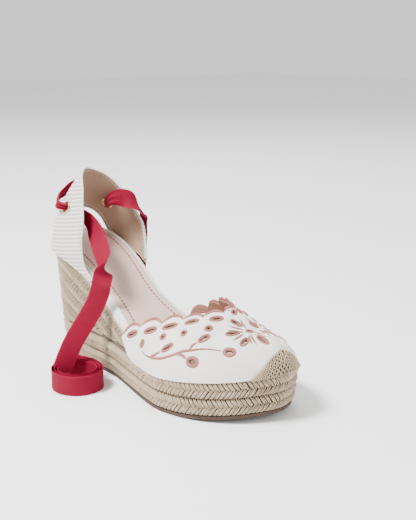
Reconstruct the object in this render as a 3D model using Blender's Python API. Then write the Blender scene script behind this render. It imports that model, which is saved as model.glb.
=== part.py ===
"""A right-foot wedge espadrille sandal with a ribbon tie.

The shoe is laid out in its own coordinates: s runs from the back of the heel to the toe, y from the lateral
side (negative) to the medial side, and z up from the floor. The finished points are moved by HEEL_BACK, so that
the part's origin is under the middle of the shoe. Everything is in metres.
"""

import math

import bmesh
import bpy
import numpy as np
from mathutils import Vector

MM = 0.001
GAP = 0.3 * MM  # left between pieces that touch

# Colours
CANVAS = (0.85, 0.83, 0.78)
WOVEN = (0.76, 0.70, 0.62)
JUTE = (0.60, 0.50, 0.37)
TAN = (0.42, 0.26, 0.17)
NUDE = (0.70, 0.54, 0.46)
FOAM = (0.80, 0.74, 0.60)
BOARD = (0.45, 0.33, 0.22)
RUBBER = (0.16, 0.10, 0.07)
BRASS = (0.83, 0.62, 0.30)
CRIMSON = (0.52, 0.01, 0.04)

# Driving dimensions
HEEL_BACK = (-123.6 * MM, 1.0 * MM, 0.0)  # where s = 0, y = 0, z = 0 lies in the part's frame
OUTSOLE = 2.5 * MM
ROW = 12.0 * MM  # height of one braided jute row
ROW_DEPTH = 6.0 * MM
BASE_TOP = OUTSOLE + 2 * (ROW + GAP) + 0.2 * MM
WEDGE_ROWS = 5
RIBBON_WIDTH = 14.5 * MM
RIBBON_THICKNESS = 1.0 * MM

# The jute outline at the top of the base rows, anticlockwise from the back of the heel: (s, y)
OUTLINE = np.array([
    (0, 0), (7, -17.8), (19, -26), (36, -30.5), (60, -32), (96, -33.8), (132, -41), (163, -47.2),
    (180, -48.2), (204, -42), (223, -29.8), (236, -14), (243.5, 5), (237.5, 23), (224, 36.5), (204, 45.5),
    (180, 46.2), (163, 42), (132, 31.5), (96, 25.5), (60, 29.5), (36, 30.3), (19, 27), (7, 18.5),
]) * MM

# Heights of the footbed's top along the shoe: (s, z), before the toe spring
FOOTBED = np.array([
    (0, 96.5), (24, 90.3), (60, 76.4), (108, 50), (130, 38.8), (150, 33), (173, 31), (204, 31), (244, 32),
]) * MM

# The wedge's back and sides draw in towards the floor, and the toe lifts off it
HEEL_TUCK = 17 * MM
TUCK_LENGTH = 120 * MM
SIDE_TUCK = 3.5 * MM
TOE_SPRING = 5 * MM
SPRING_START = 175 * MM

# Edge of the sock lining and of the pieces under it, measured in from the jute outline
FOOTBED_INSET = 9.0 * MM
HEEL_INSET = 6.3 * MM


# ---------------------------------------------------------------- curves

def value_at(table, s):
    """The smooth curve through a table of (station, value) rows, with level ends past the table."""
    x, v = table[:, 0], table[:, 1]
    slope = np.gradient(v, x)
    s = np.clip(s, x[0], x[-1])
    i = np.clip(np.searchsorted(x, s) - 1, 0, len(x) - 2)
    width = x[i + 1] - x[i]
    t = (s - x[i]) / width
    return (
        (2 * t**3 - 3 * t**2 + 1) * v[i]
        + (t**3 - 2 * t**2 + t) * width * slope[i]
        + (3 * t**2 - 2 * t**3) * v[i + 1]
        + (t**3 - t**2) * width * slope[i + 1]
    )


def through(points, count, closed=False):
    """Evenly spaced points on a smooth curve through the given ones; columns after the third only follow."""
    points = np.asarray(points, float)
    if closed:
        padded = np.vstack([points[-1], points, points[:2]])
    else:
        padded = np.vstack([2 * points[0] - points[1], points, 2 * points[-1] - points[-2]])
    fine = []
    for a, b, c, d in zip(padded, padded[1:], padded[2:], padded[3:]):
        for t in np.linspace(0, 1, 24, endpoint=False):
            fine.append(0.5 * (2 * b + (c - a) * t + (2 * a - 5 * b + 4 * c - d) * t**2
                               + (3 * b - a - 3 * c + d) * t**3))
    fine.append(padded[-2])
    fine = np.array(fine)
    run = np.concatenate([[0], np.cumsum(np.linalg.norm(np.diff(fine[:, :3], axis=0), axis=1))])
    at = np.linspace(0, run[-1], count, endpoint=not closed)
    return np.stack([np.interp(at, run, fine[:, k]) for k in range(fine.shape[1])], axis=1)


def outward(loop):
    """Unit normals of a closed anticlockwise loop in plan."""
    along = np.roll(loop, -1, axis=0) - np.roll(loop, 1, axis=0)
    along /= np.linalg.norm(along, axis=1)[:, None]
    return np.stack([along[:, 1], -along[:, 0]], axis=1)


def footbed(s):
    return value_at(FOOTBED, s)


def edge_inset(s):
    """How far the footbed's edge lies inside the jute outline: less at the heel than at the ball."""
    return HEEL_INSET + (FOOTBED_INSET - HEEL_INSET) * np.clip((s - 30 * MM) / (70 * MM), 0, 1)


def shaped(points):
    """Draws the layout's upright walls in towards the floor and lifts the toe."""
    points = np.array(points, float)
    s, y, z = points.T
    heel = np.clip(1 - s / TUCK_LENGTH, 0, 1) ** 2
    below = np.clip(1 - z / footbed(0.0), 0, 1)
    low = np.clip(1 - z / BASE_TOP, 0, 1) ** 1.5
    lift = TOE_SPRING * np.clip((s - SPRING_START) / (240 * MM - SPRING_START), 0, 2) ** 2
    middle = np.array([120 * MM, 0])
    away = np.stack([s, y], axis=1) - middle
    reach = np.linalg.norm(away, axis=1)[:, None]
    away = away / np.maximum(reach, 1 * MM) * np.minimum(reach / (30 * MM), 1)
    moved = np.stack([s, y], axis=1) - away * (SIDE_TUCK * low)[:, None]
    moved[:, 0] += HEEL_TUCK * below * heel
    return np.column_stack([moved, z + lift])


# ---------------------------------------------------------------- meshes

def part(name, points, faces, color, roughness, metallic=0.0, bend=True):
    """A named object from points in the shoe's layout, with a material of its own."""
    mesh = bpy.data.meshes.new(name)
    points = (shaped(points) if bend else np.asarray(points)) + HEEL_BACK
    mesh.from_pydata(points.tolist(), [], faces)
    work = bmesh.new()
    work.from_mesh(mesh)
    bmesh.ops.remove_doubles(work, verts=work.verts, dist=0.001 * MM)
    bmesh.ops.recalc_face_normals(work, faces=work.faces)
    work.to_mesh(mesh)
    work.free()
    mesh.shade_smooth()
    mesh.set_sharp_from_angle(angle=math.radians(40))
    obj = bpy.data.objects.new(name, mesh)
    bpy.context.collection.objects.link(obj)
    material = bpy.data.materials.new(name)
    material.use_nodes = True
    shader = material.node_tree.nodes["Principled BSDF"]
    shader.inputs["Base Color"].default_value = (*color, 1)
    shader.inputs["Roughness"].default_value = roughness
    shader.inputs["Metallic"].default_value = metallic
    mesh.materials.append(material)
    return obj


def grid_faces(rows, columns, closed=False, first=0, flip=False):
    """Quads between the rows of a grid of points; closed joins the last column to the first."""
    faces = []
    for i in range(rows - 1):
        for j in range(columns if closed else columns - 1):
            a, b = i * columns + j, i * columns + (j + 1) % columns
            quad = (a, b, b + columns, a + columns)
            faces.append(tuple(first + q for q in (quad[::-1] if flip else quad)))
    return faces


def swept(name, sections, color, roughness, closed=False, **options):
    """A solid from equal rings of points, one after another: capped at both ends, or closed on itself."""
    sections = np.asarray(sections, float)
    count, around = sections.shape[:2]
    if closed:
        sections = np.concatenate([sections, sections[:1]])
    faces = grid_faces(len(sections), around, closed=True)
    if not closed:
        faces += [tuple(range(around))[::-1], tuple((count - 1) * around + k for k in range(around))]
    return part(name, sections.reshape(-1, 3), faces, color, roughness, **options)


def shell(name, grids, inner, outer, color, roughness, inside, bend=True):
    """A thin closed shell between two offsets of a surface made of grids that share edges.

    The offsets are measured along the surface's normals, which point away from the point called inside.
    """
    surface = bmesh.new()
    for grid in grids:
        rows, columns = grid.shape[:2]
        flat = grid.reshape(-1, 3)
        verts = [surface.verts.new(p) for p in (shaped(flat) if bend else flat)]
        for quad in grid_faces(rows, columns):
            surface.faces.new([verts[q] for q in quad])
    bmesh.ops.remove_doubles(surface, verts=surface.verts, dist=0.01 * MM)
    bmesh.ops.recalc_face_normals(surface, faces=surface.faces)
    turned = sum((f.calc_center_median() - Vector(inside)).dot(f.normal) * f.calc_area() for f in surface.faces)
    if turned < 0:
        bmesh.ops.reverse_faces(surface, faces=surface.faces)
    surface.normal_update()
    surface.verts.index_update()
    count = len(surface.verts)
    points = [v.co + v.normal * outer for v in surface.verts] + [v.co + v.normal * inner for v in surface.verts]
    faces = []
    for face in surface.faces:
        ring = [v.index for v in face.verts]
        faces += [tuple(ring), tuple(count + k for k in reversed(ring))]
    for edge in surface.edges:
        if edge.is_boundary:
            a, b = (v.index for v in edge.verts)
            faces.append((a, b, count + b, count + a))
    surface.free()
    return part(name, np.array([tuple(p) for p in points]), faces, color, roughness, bend=False)


# ---------------------------------------------------------------- the vamp's surface

FAN_START = 205 * MM  # from here the cross-sections fan out round the toe
FAN_REACH = 18.7 * MM
VAMP_BACK = 122 * MM
THROAT = 193.2 * MM
VAMP_INSET = 1.0 * MM

# The vamp's highest line: (s, y, z)
RIDGE = np.array([
    (120, 5, 80), (150, 6, 77), (176, 8.6, 70.3), (193, 5.4, 66.6), (205, 6, 59.5), (213, 6, 54), (223.7, 6.5, 50.5),
]) * MM
# Squareness of the arch on each side: 2 is an ellipse, less is flatter
LATERAL_ARCH = np.array([(0.122, 1.5), (0.176, 1.64), (0.205, 1.9), (0.2435, 2.0)])
MEDIAL_ARCH = np.array([(0.122, 1.8), (0.205, 1.25), (0.2435, 2.0)])


def sides(inset=0.0):
    """The lateral and the medial half of the outline in plan, each from the heel to the toe tip."""
    loop = through(OUTLINE, 720, closed=True)
    loop = loop - outward(loop) * inset
    tip = int(np.argmax(loop[:, 0]))
    return loop[: tip + 1], np.vstack([loop[tip:], loop[:1]])[::-1]


def foot_of(half, u):
    """The point of one half of the outline at s = u, or past FAN_START as far round the toe as u is along."""
    s = half[:, 0]
    at_fan = int(np.searchsorted(s, FAN_START))
    if u <= FAN_START:
        return np.array([u, np.interp(u, s[: at_fan + 1], half[: at_fan + 1, 1])])
    toe = half[at_fan:]
    run = np.concatenate([[0], np.cumsum(np.linalg.norm(np.diff(toe, axis=0), axis=1))])
    at = run[-1] * (u - FAN_START) / (OUTLINE[:, 0].max() - FAN_START)
    return np.array([np.interp(at, run, toe[:, k]) for k in (0, 1)])


def arch(half, squareness, u, v):
    """A point of the vamp: u says which cross-section, v runs from its foot, 0, to the ridge, 1."""
    foot = foot_of(half, u)
    s = u if u <= FAN_START else FAN_START + FAN_REACH * (u - FAN_START) / (OUTLINE[:, 0].max() - FAN_START)
    ridge = np.array([s, value_at(RIDGE[:, [0, 1]], s), value_at(RIDGE[:, [0, 2]], s)])
    power = 2 / value_at(squareness, u)
    inward = 1 - math.cos(v * math.pi / 2) ** power if v < 1 else 1.0
    up = math.sin(v * math.pi / 2) ** power
    plan = foot + (ridge[:2] - foot) * inward
    base = BASE_TOP + 0.8 * MM
    return np.array([*plan, base + (ridge[2] - base) * up])


def outline_loop():
    """The jute outline as a fine closed loop in plan, with its outward normals and the toe tip's index."""
    loop = through(OUTLINE, 720, closed=True)
    return loop, outward(loop), int(np.argmax(loop[:, 0]))


# ---------------------------------------------------------------- the sole

PITCH = 12.28 * MM  # from one wedge row to the next
BINDING_DROP = 7.8 * MM  # from the footbed down to the top wedge row


def wall_inset(s):
    """How far the wedge's wall lies inside the jute outline: it draws in behind the vamp's wings."""
    return edge_inset(s) - ROW_DEPTH + 1.6 * MM * np.clip((s - 105 * MM) / (22 * MM), 0, 1)


def slab(name, inset, low, high, color, roughness, count=36):
    """A flat piece that follows the outline, between two heights given as functions of s."""
    loop, out, _ = outline_loop()
    loop = loop - out * np.array([inset(s) for s in loop[:, 0]])[:, None]
    tip, back = int(np.argmax(loop[:, 0])), int(np.argmin(np.roll(loop[:, 0], 360))) - 360
    lateral = np.array([loop[i] for i in range(back, tip + 1)])
    medial = np.array([loop[i % 720] for i in range(back + 720, tip - 1, -1)])
    middle, half = (lateral[0, 0] + lateral[-1, 0]) / 2, (lateral[-1, 0] - lateral[0, 0]) / 2 - 0.3 * MM
    sections = []
    for angle in np.linspace(math.pi, 0, count):
        s = middle + half * math.cos(angle)
        left, right = (np.interp(s, side[:, 0], side[:, 1]) for side in (lateral, medial))
        sections.append([(s, left, low(s)), (s, left, high(s)), (s, right, high(s)), (s, right, low(s))])
    return swept(name, sections, color, roughness)


def base_row(name, bottom, color):
    """One braided row that runs right round the base platform."""
    loop, out, _ = outline_loop()
    sections = []
    for k in range(0, 720, 8):
        ring = []
        for inset, z in ((ROW_DEPTH, 0), (1.3 * MM, 0), (0, 0.3), (0, 0.7), (1.3 * MM, 1), (ROW_DEPTH, 1)):
            ring.append((*(loop[k] - out[k] * inset), bottom + z * ROW))
        sections.append(ring)
    return swept(name, sections, color, 0.9, closed=True)


def heel_path(end, count):
    """Stations round the heel from the lateral side's s = end to the medial side's: points and normals."""
    loop, out, tip = outline_loop()
    order = list(range(tip, 0, -1)) + [0] + list(range(719, tip, -1))
    order = [k for k in order if loop[k, 0] <= end]
    run = np.concatenate([[0], np.cumsum(np.linalg.norm(np.diff(loop[order], axis=0), axis=1))])
    picks = [order[int(np.argmin(abs(run - at)))] for at in np.linspace(0, run[-1], count)]
    return loop[picks], out[picks]


def wedge_row(number, color):
    """One braided row of the wedge, from side to side round the heel; it runs out where it meets the base."""
    floor = BASE_TOP + GAP

    def top(s):
        return footbed(s) - BINDING_DROP - GAP - number * PITCH

    ends = np.linspace(20 * MM, 140 * MM, 481)
    end = ends[np.argmin([abs(top(s) - floor - 1.5 * MM) for s in ends])]
    sections = []
    for point, out in zip(*heel_path(end, 30 + int(end / (5 * MM)))):
        s = point[0]
        low = max(floor, top(s) - PITCH + GAP)
        high = top(s)
        wall = wall_inset(s)
        round_off = min(1.2 * MM, (high - low) / 3)
        ring = []
        for inset, z in ((ROW_DEPTH, 0), (round_off, 0), (0, 0.3), (0, 0.7), (round_off, 1), (ROW_DEPTH, 1)):
            depth = wall + inset if inset < ROW_DEPTH else edge_inset(s)
            ring.append((*(point - out * depth), low + z * (high - low)))
        sections.append(ring)
    return swept(f"jute_wedge_row_{number + 1}", sections, color, 0.9)


def insole_binding():
    """The canvas-wrapped edge of the insole, sloping out and down to the top wedge row."""
    sections = []
    for point, out in zip(*heel_path(128 * MM, 58)):
        s = point[0]
        wall, edge, top = wall_inset(s), edge_inset(s), footbed(s)
        profile = [
            (edge, top - BINDING_DROP + GAP), (wall + 0.5 * MM, top - BINDING_DROP + GAP),
            (wall + 0.9 * MM, top - 4.6 * MM), (wall + 0.6 * (edge - wall), top - 1.0 * MM),
            (edge - 0.8 * MM, top + 0.3 * MM), (edge, top - 0.1 * MM),
        ]
        sections.append([(*(point - out * inset), z) for inset, z in profile])
    return swept("insole_binding", sections, CANVAS, 0.85)


def sole():
    """The outsole, the jute-wrapped wedge and the insole stack."""
    def under(drop):
        return lambda s: footbed(s) - drop

    def inside_edge(extra):
        return lambda s: edge_inset(s) + extra

    slab("outsole", lambda s: 0.4 * MM, lambda s: 0.0, lambda s: OUTSOLE, RUBBER, 0.8)
    slab("wedge_core", inside_edge(0.9 * MM), lambda s: OUTSOLE + GAP, under(6.5 * MM), FOAM, 0.9)
    slab("insole_board", inside_edge(0.9 * MM), under(6.2 * MM), under(4.2 * MM), BOARD, 0.9)
    slab("footbed_padding", inside_edge(0.9 * MM), under(3.9 * MM), under(1.5 * MM), FOAM, 0.9)
    slab("sock_lining", inside_edge(0.6 * MM), under(1.2 * MM), under(0.0), NUDE, 0.6)
    base_row("jute_base_row_lower", OUTSOLE + GAP, JUTE)
    base_row("jute_base_row_upper", OUTSOLE + ROW + 2 * GAP, JUTE)
    for number in range(WEDGE_ROWS):
        wedge_row(number, JUTE)
    insole_binding()


# ---------------------------------------------------------------- the vamp

# The top line on each side as (cross-section, height round it), from the wing's tip to the throat
LATERAL_TOPLINE = np.array([
    (0.1271, 0.28), (0.1339, 0.32), (0.1463, 0.40), (0.1567, 0.46), (0.1658, 0.53), (0.1741, 0.59),
    (0.1809, 0.66), (0.1889, 0.74), (0.1925, 0.80), (0.1932, 0.88), (0.1932, 1.0),
])
MEDIAL_TOPLINE = np.array([
    (0.1271, 0.28), (0.1339, 0.34), (0.1422, 0.40), (0.1520, 0.50), (0.1607, 0.59), (0.1700, 0.68),
    (0.1780, 0.76), (0.1860, 0.83), (0.1915, 0.89), (0.1932, 0.94), (0.1932, 1.0),
])
WING_FOOT = 140 * MM
FANNED = 214 * MM  # the foot of the cross-section that starts in the middle of the throat
# The toe cap's upper edge, on both sides: (cross-section, height round it)
CAP_EDGE = np.array([(0.2297, 0.04), (0.2335, 0.18), (0.2365, 0.30), (0.2408, 0.41), (0.2435, 0.47)])


def vamp_grid(half, squareness, topline, columns):
    """One half of the vamp: rows from the wing's rear edge to the toe, columns from the foot to the top."""
    toe = OUTLINE[:, 0].max()
    tops = [tuple(row) for row in through(topline, 15)]
    tops += [(u, 1.0) for u in np.linspace(THROAT, toe, 12)[1:]]
    feet = list(np.linspace(WING_FOOT, FANNED, 15)) + list(np.linspace(FANNED, toe, 12)[1:])
    grid = []
    for (u, v), foot in zip(tops, feet):
        row = []
        for t in np.linspace(0, 1, columns):
            row.append(arch(half, squareness, foot + (u - foot) * t, v * t))
        grid.append(row)
    return np.array(grid)


def vamp():
    """The canvas vamp, its lining and the toe cap over its tip."""
    lateral, medial = sides(VAMP_INSET)
    within = (190 * MM, 2 * MM, 30 * MM)

    halves = [
        vamp_grid(lateral, LATERAL_ARCH, LATERAL_TOPLINE, 10),
        vamp_grid(medial, MEDIAL_ARCH, MEDIAL_TOPLINE, 10),
    ]
    shell("vamp", halves, 0.0, 1.2 * MM, CANVAS, 0.85, within)
    shell("vamp_lining", halves, -1.2 * MM, -0.4 * MM, TAN, 0.8, within)

    caps = []
    for half, squareness in ((lateral, LATERAL_ARCH), (medial, MEDIAL_ARCH)):
        edge = through(CAP_EDGE, 9)
        caps.append(np.array([
            [arch(half, squareness, u, v * t) for t in np.linspace(0, 1, 8)] for u, v in edge
        ]))
    shell("toe_cap", caps, 1.2 * MM + GAP, 2.6 * MM, JUTE, 0.9, within)


# ---------------------------------------------------------------- the heel counter

# Ribs of one side, from the front tip to the middle of the back: lower end, upper end, outward bulge
RIBS = {
    -1: np.array([
        (80, 32.5, 66, 79.5, 32.5, 69.5, 0), (70, 32, 70.5, 70, 33.3, 79, 0.4), (58, 31.5, 74, 64.5, 31.5, 93, 2.0),
        (45, 31.5, 77.5, 61.5, 28.5, 103.5, 3.2), (32, 31, 80, 58, 25, 112, 4.0), (18, 28, 82, 52.5, 21.3, 122, 4.6),
        (12, 24, 88, 47.5, 17.6, 131.5, 4.8), (13, 19.3, 102, 41, 13.6, 138.5, 4.4),
        (14, 11.5, 110, 34.5, 9, 143, 3.6), (14, 0, 113, 28, 0, 146, 3.0),
    ]) * MM,
    1: np.array([
        (66, 28.4, 71.5, 66, 27.6, 74.5, 0), (61, 29.6, 73.5, 65.2, 28.7, 82, 0.4),
        (53, 30.6, 76, 62.5, 29.8, 93.5, 1.6), (43, 31.3, 78, 60.8, 28.6, 103.5, 2.8),
        (33, 31.2, 80.5, 58, 25, 112, 3.8), (24.5, 30.2, 82.5, 52.5, 21.3, 122, 4.6),
        (17.5, 27.2, 89, 47.5, 17.6, 131.5, 4.8), (16, 20.5, 102, 41, 13.6, 138.5, 4.4),
        (14.5, 11.8, 110, 34.5, 9, 143, 3.6), (14, 0, 113, 28, 0, 146, 3.0),
    ]) * MM,
}
COUNTER_MIDDLE = np.array([45 * MM, 0])
EYELET_AT = {-1: (5.9, 0.70), 1: (6.75, 0.48)}  # rib and height of each eyelet's centre
EYELET_HOLE = 3.3 * MM


def counter_point(rib, height, side=-1):
    """A point of the counter's surface: rib 0 is the front tip and rib 9 the middle of the back."""
    across = np.concatenate([RIBS[side], (RIBS[-side] * np.array([1, -1, 1, 1, -1, 1, 1]))[-2:-4:-1]])
    k = min(int(rib), 8)
    t = rib - k
    before = across[k - 1] if k else 2 * across[0] - across[1]
    a, b, c = across[k], across[k + 1], across[k + 2]
    row = 0.5 * (2 * a + (b - before) * t + (2 * before - 5 * a + 4 * b - c) * t**2
                 + (3 * a - before - 3 * b + c) * t**3)
    point = row[:3] + (row[3:6] - row[:3]) * height
    away = point[:2] - COUNTER_MIDDLE
    away = away / np.linalg.norm(away)
    point[:2] += away * row[6] * 4 * height * (1 - height)
    return point * np.array([1, side, 1])


def counter_frame(side):
    """The eyelet's centre on the counter and the outward normal there."""
    rib, height = EYELET_AT[side]
    centre = counter_point(rib, height, side)
    along = counter_point(rib + 0.3, height, side) - counter_point(rib - 0.3, height, side)
    up = counter_point(rib, height + 0.05, side) - counter_point(rib, height - 0.05, side)
    normal = np.cross(along, up)
    normal /= np.linalg.norm(normal)
    if normal[:2] @ (centre[:2] - COUNTER_MIDDLE) < 0:
        normal = -normal
    return centre, normal


def turned(name, centre, axis, profile, color, roughness, metallic=0.0, count=24):
    """A ring turned round an axis from a closed profile of (radius, height along the axis)."""
    axis = Vector(axis)
    first = axis.orthogonal().normalized()
    second = axis.cross(first)
    sections = []
    for k in range(count):
        angle = 2 * math.pi * k / count
        ray = first * math.cos(angle) + second * math.sin(angle)
        sections.append([Vector(centre) + ray * r + axis * h for r, h in profile])
    return swept(name, sections, color, roughness, closed=True, metallic=metallic, bend=False)


def drill(obj, centre, axis, radius):
    """Cuts a round hole through a shell."""
    axis = Vector(axis)
    first = axis.orthogonal().normalized()
    second = axis.cross(first)
    rings = []
    for h in (-6 * MM, 6 * MM):
        ring = []
        for k in range(24):
            angle = 2 * math.pi * k / 24
            ray = first * math.cos(angle) + second * math.sin(angle)
            ring.append(Vector(centre) + ray * radius + axis * h)
        rings.append(ring)
    cutter = swept(f"{obj.name}_hole_{len(obj.modifiers) + 1}", rings, JUTE, 1.0, bend=False)
    cutter.hide_render = True
    cutter.display_type = "WIRE"
    cut = obj.modifiers.new("Eyelet hole", "BOOLEAN")
    cut.operation = "DIFFERENCE"
    cut.solver = "EXACT"
    cut.object = cutter


def heel_counter():
    """The woven counter and its lining, standing round the heel with a half-moon opening at the back."""
    ribs = np.concatenate([np.linspace(0, 9, 19), np.linspace(9, 0, 19)[1:]])
    grid = np.array([
        [counter_point(rib, height, -1 if k < 19 else 1) for height in np.linspace(0, 1, 8)]
        for k, rib in enumerate(ribs)
    ])
    within = (48 * MM, 0, 95 * MM)
    outer = shell("heel_counter", [grid], 0.0, 1.2 * MM, WOVEN, 0.85, within, bend=False)
    lining = shell("counter_lining", [grid], -1.4 * MM, -0.6 * MM, TAN, 0.7, within, bend=False)
    for side, word in ((-1, "lateral"), (1, "medial")):
        centre, axis = counter_frame(side)
        for obj in (outer, lining):
            drill(obj, centre, axis, EYELET_HOLE + 0.8 * MM)
        barrel = [
            (EYELET_HOLE, -3.8), (EYELET_HOLE + 0.4 * MM, -3.8), (EYELET_HOLE + 0.4 * MM, 1.55),
            (EYELET_HOLE + 1.9 * MM, 1.45), (EYELET_HOLE + 1.8 * MM, 1.9), (EYELET_HOLE + 0.8 * MM, 2.3),
            (EYELET_HOLE, 2.0),
        ]
        turned(f"eyelet_{word}", centre, axis, [(r, h * MM) for r, h in barrel], BRASS, 0.3, 1.0)
        washer = [
            (EYELET_HOLE + 0.7 * MM, -2.6), (EYELET_HOLE + 0.7 * MM, -3.2), (EYELET_HOLE + 1.8 * MM, -4.0),
            (EYELET_HOLE + 1.9 * MM, -3.5),
        ]
        turned(f"eyelet_washer_{word}", centre, axis, [(r, h * MM) for r, h in washer], BRASS, 0.3, 1.0)


# ---------------------------------------------------------------- the ribbon

ROLL_OUTER = 19.8 * MM
ROLL_INNER = 14.6 * MM
ROLL_LATERAL = (102 * MM, -63.6 * MM)
ROLL_MEDIAL = (45 * MM, 60 * MM)


def ribbon():
    """One ribbon from the lateral roll up into the lateral eyelet, round the back and down to the medial roll."""
    def station(point, across, width=14.5, thickness=1.0):
        return [*(np.array(point) / MM), *across, width, thickness]

    def at(s, y, z, across, width=14.5):
        return station((s * MM, y * MM, z * MM), across, width)

    hanging = (0.62, 0.70, -0.33)
    stations = [
        at(91.5, -67, 18, hanging), at(90, -62.5, 26.5, hanging), at(93, -53, 39, hanging),
        at(96.5, -45, 52.5, hanging), at(98.5, -39.8, 64, hanging), at(99.5, -38, 73, (0.60, 0.40, -0.69)),
        at(97, -33.5, 82.5, (0.25, -0.20, -0.95)), at(89, -28.5, 89, (-0.20, -0.60, -0.77)),
        at(76.6, -23, 95.3, (-0.30, -0.65, -0.69)), at(63, -17.5, 102, (-0.15, -0.50, -0.85)),
        at(51, -15.0, 109, (0.1, -0.2, -0.97), 11),
    ]
    back = []
    for side in (-1, 1):
        centre, axis = counter_frame(side)
        passing = [
            station(centre + axis * h * MM, (0, 0, -1), width, 2.0)
            for h, width in ((-7.0, 5.5), (-3.4, 4.4), (0.0, 4.4), (3.4, 4.4))
        ]
        middle = []
        round_back = [(8.0, 0.50, 10.5, 5.2), (8.5, 0.50, 13.0, 4.2)]
        if side < 0:
            round_back = [(6.45, 0.63, 7.0, 6.5), (7.2, 0.55, 9.0, 6.0)] + round_back
        else:
            round_back = [(7.35, 0.50, 7.0, 6.2)] + round_back
        for rib, height, width, stand in round_back:
            point = counter_point(rib, height, side)
            away = point[:2] - COUNTER_MIDDLE
            point[:2] += away / np.linalg.norm(away) * stand * MM
            middle.append(station(point, (-0.35, 0, -0.93), width))
        back.append((passing, middle))
    stations += back[0][0] + back[0][1]
    rear = counter_point(9, 0.50)
    rear[0] -= 3.4 * MM
    stations.append(station(rear, (-0.39, 0, -0.92)))
    stations += back[1][1][::-1] + back[1][0][::-1]
    stations += [
        at(38.5, 13, 119.5, (0.2, -0.1, -0.97), 9), at(46, 14, 122.5, (0.3, 0, -0.95), 12),
        at(54, 18, 122.5, (0.45, 0.1, -0.87)), at(60, 23.5, 117.5, (0.7, -0.1, -0.6), 12.5),
        at(61.5, 28.6, 111.5, (0.9, -0.35, -0.25), 10), at(57.2, 33.6, 106.5, (0.92, -0.2, 0.35), 10),
        at(50, 36.8, 94, (0.88, 0, 0.5), 13), at(45.5, 38.8, 80, (0.96, 0, 0.3)),
        at(44.5, 39.3, 65, (1, 0, 0.1)),
        at(44.5, 38.8, 50, (1, 0, 0)), at(45, 37.7, 32, (1, 0, 0)), at(45.5, 36.8, 17.5, (1, 0, 0)),
    ]
    path = through(np.array(stations), 110)
    centres = path[:, :3]
    tangents = np.gradient(centres, axis=0)
    tangents /= np.linalg.norm(tangents, axis=1)[:, None]
    sections = []
    for centre, tangent, row in zip(centres, tangents, path):
        across = row[3:6] - tangent * (row[3:6] @ tangent)
        across /= np.linalg.norm(across)
        normal = np.cross(tangent, across)
        half, deep = across * row[6] / 2, normal * row[7] / 2
        sections.append([(centre + x * half + z * deep) * MM for x, z in ((-1, -1), (1, -1), (1, 1), (-1, 1))])
    swept("ribbon", sections, CRIMSON, 0.6, bend=False)

    coil = [(ROLL_INNER, 0), (ROLL_OUTER, 0), (ROLL_OUTER, RIBBON_WIDTH), (ROLL_INNER, RIBBON_WIDTH)]
    for word, place in (("lateral", ROLL_LATERAL), ("medial", ROLL_MEDIAL)):
        turned(f"ribbon_roll_{word}", (*place, 0), (0, 0, 1), coil, CRIMSON, 0.6, count=40)


def main():
    for obj in list(bpy.data.objects):
        bpy.data.objects.remove(obj)
    sole()
    vamp()
    heel_counter()
    ribbon()


if __name__ == "__main__":
    main()
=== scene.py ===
"""The looks of the wedge espadrille: braided jute, embroidered canvas, woven counter, leather and ribbon.

As in the CAD, the shoe is laid out in its own coordinates in metres: s from the back of the heel to the toe,
y from the lateral side (negative) to the medial side, z up. LAYOUT moves that layout into the shared frame.
"""

import math

import bpy
import numpy as np
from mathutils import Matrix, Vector
from mathutils.bvhtree import BVHTree


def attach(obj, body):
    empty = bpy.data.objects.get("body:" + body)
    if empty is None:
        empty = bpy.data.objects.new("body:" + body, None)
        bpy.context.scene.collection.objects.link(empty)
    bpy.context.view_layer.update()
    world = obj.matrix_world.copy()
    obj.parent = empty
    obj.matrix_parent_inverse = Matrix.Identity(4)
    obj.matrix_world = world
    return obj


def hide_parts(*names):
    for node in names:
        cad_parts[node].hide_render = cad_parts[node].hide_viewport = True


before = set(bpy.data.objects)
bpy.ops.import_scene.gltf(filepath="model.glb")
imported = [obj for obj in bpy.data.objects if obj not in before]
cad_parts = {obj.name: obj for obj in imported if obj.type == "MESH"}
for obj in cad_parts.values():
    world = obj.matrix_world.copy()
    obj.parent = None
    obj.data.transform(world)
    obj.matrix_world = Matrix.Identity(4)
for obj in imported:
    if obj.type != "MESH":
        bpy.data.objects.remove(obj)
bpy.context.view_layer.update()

MM = 0.001
LAYOUT = np.array([-123.6, 1.0, 0.0]) * MM
RANDOM = np.random.default_rng(7)

# ---------------------------------------------------------------- the shoe's layout, as in the CAD

OUTSOLE = 2.5 * MM
ROW = 12.0 * MM
ROW_DEPTH = 6.0 * MM
BASE_TOP = 27.3 * MM
PITCH = 12.28 * MM
BINDING_DROP = 7.8 * MM
GAP = 0.3 * MM

OUTLINE = np.array([
    (0, 0), (7, -17.8), (19, -26), (36, -30.5), (60, -32), (96, -33.8), (132, -41), (163, -47.2),
    (180, -48.2), (204, -42), (223, -29.8), (236, -14), (243.5, 5), (237.5, 23), (224, 36.5), (204, 45.5),
    (180, 46.2), (163, 42), (132, 31.5), (96, 25.5), (60, 29.5), (36, 30.3), (19, 27), (7, 18.5),
]) * MM
FOOTBED = np.array([
    (0, 96.5), (24, 90.3), (60, 76.4), (108, 50), (130, 38.8), (150, 33), (173, 31), (204, 31), (244, 32),
]) * MM


def value_at(table, s):
    """The smooth curve through a table of (station, value) rows, with level ends past the table."""
    x, v = table[:, 0], table[:, 1]
    slope = np.gradient(v, x)
    s = np.clip(s, x[0], x[-1])
    i = np.clip(np.searchsorted(x, s) - 1, 0, len(x) - 2)
    width = x[i + 1] - x[i]
    t = (s - x[i]) / width
    return (
        (2 * t**3 - 3 * t**2 + 1) * v[i]
        + (t**3 - 2 * t**2 + t) * width * slope[i]
        + (3 * t**2 - 2 * t**3) * v[i + 1]
        + (t**3 - t**2) * width * slope[i + 1]
    )


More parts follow.
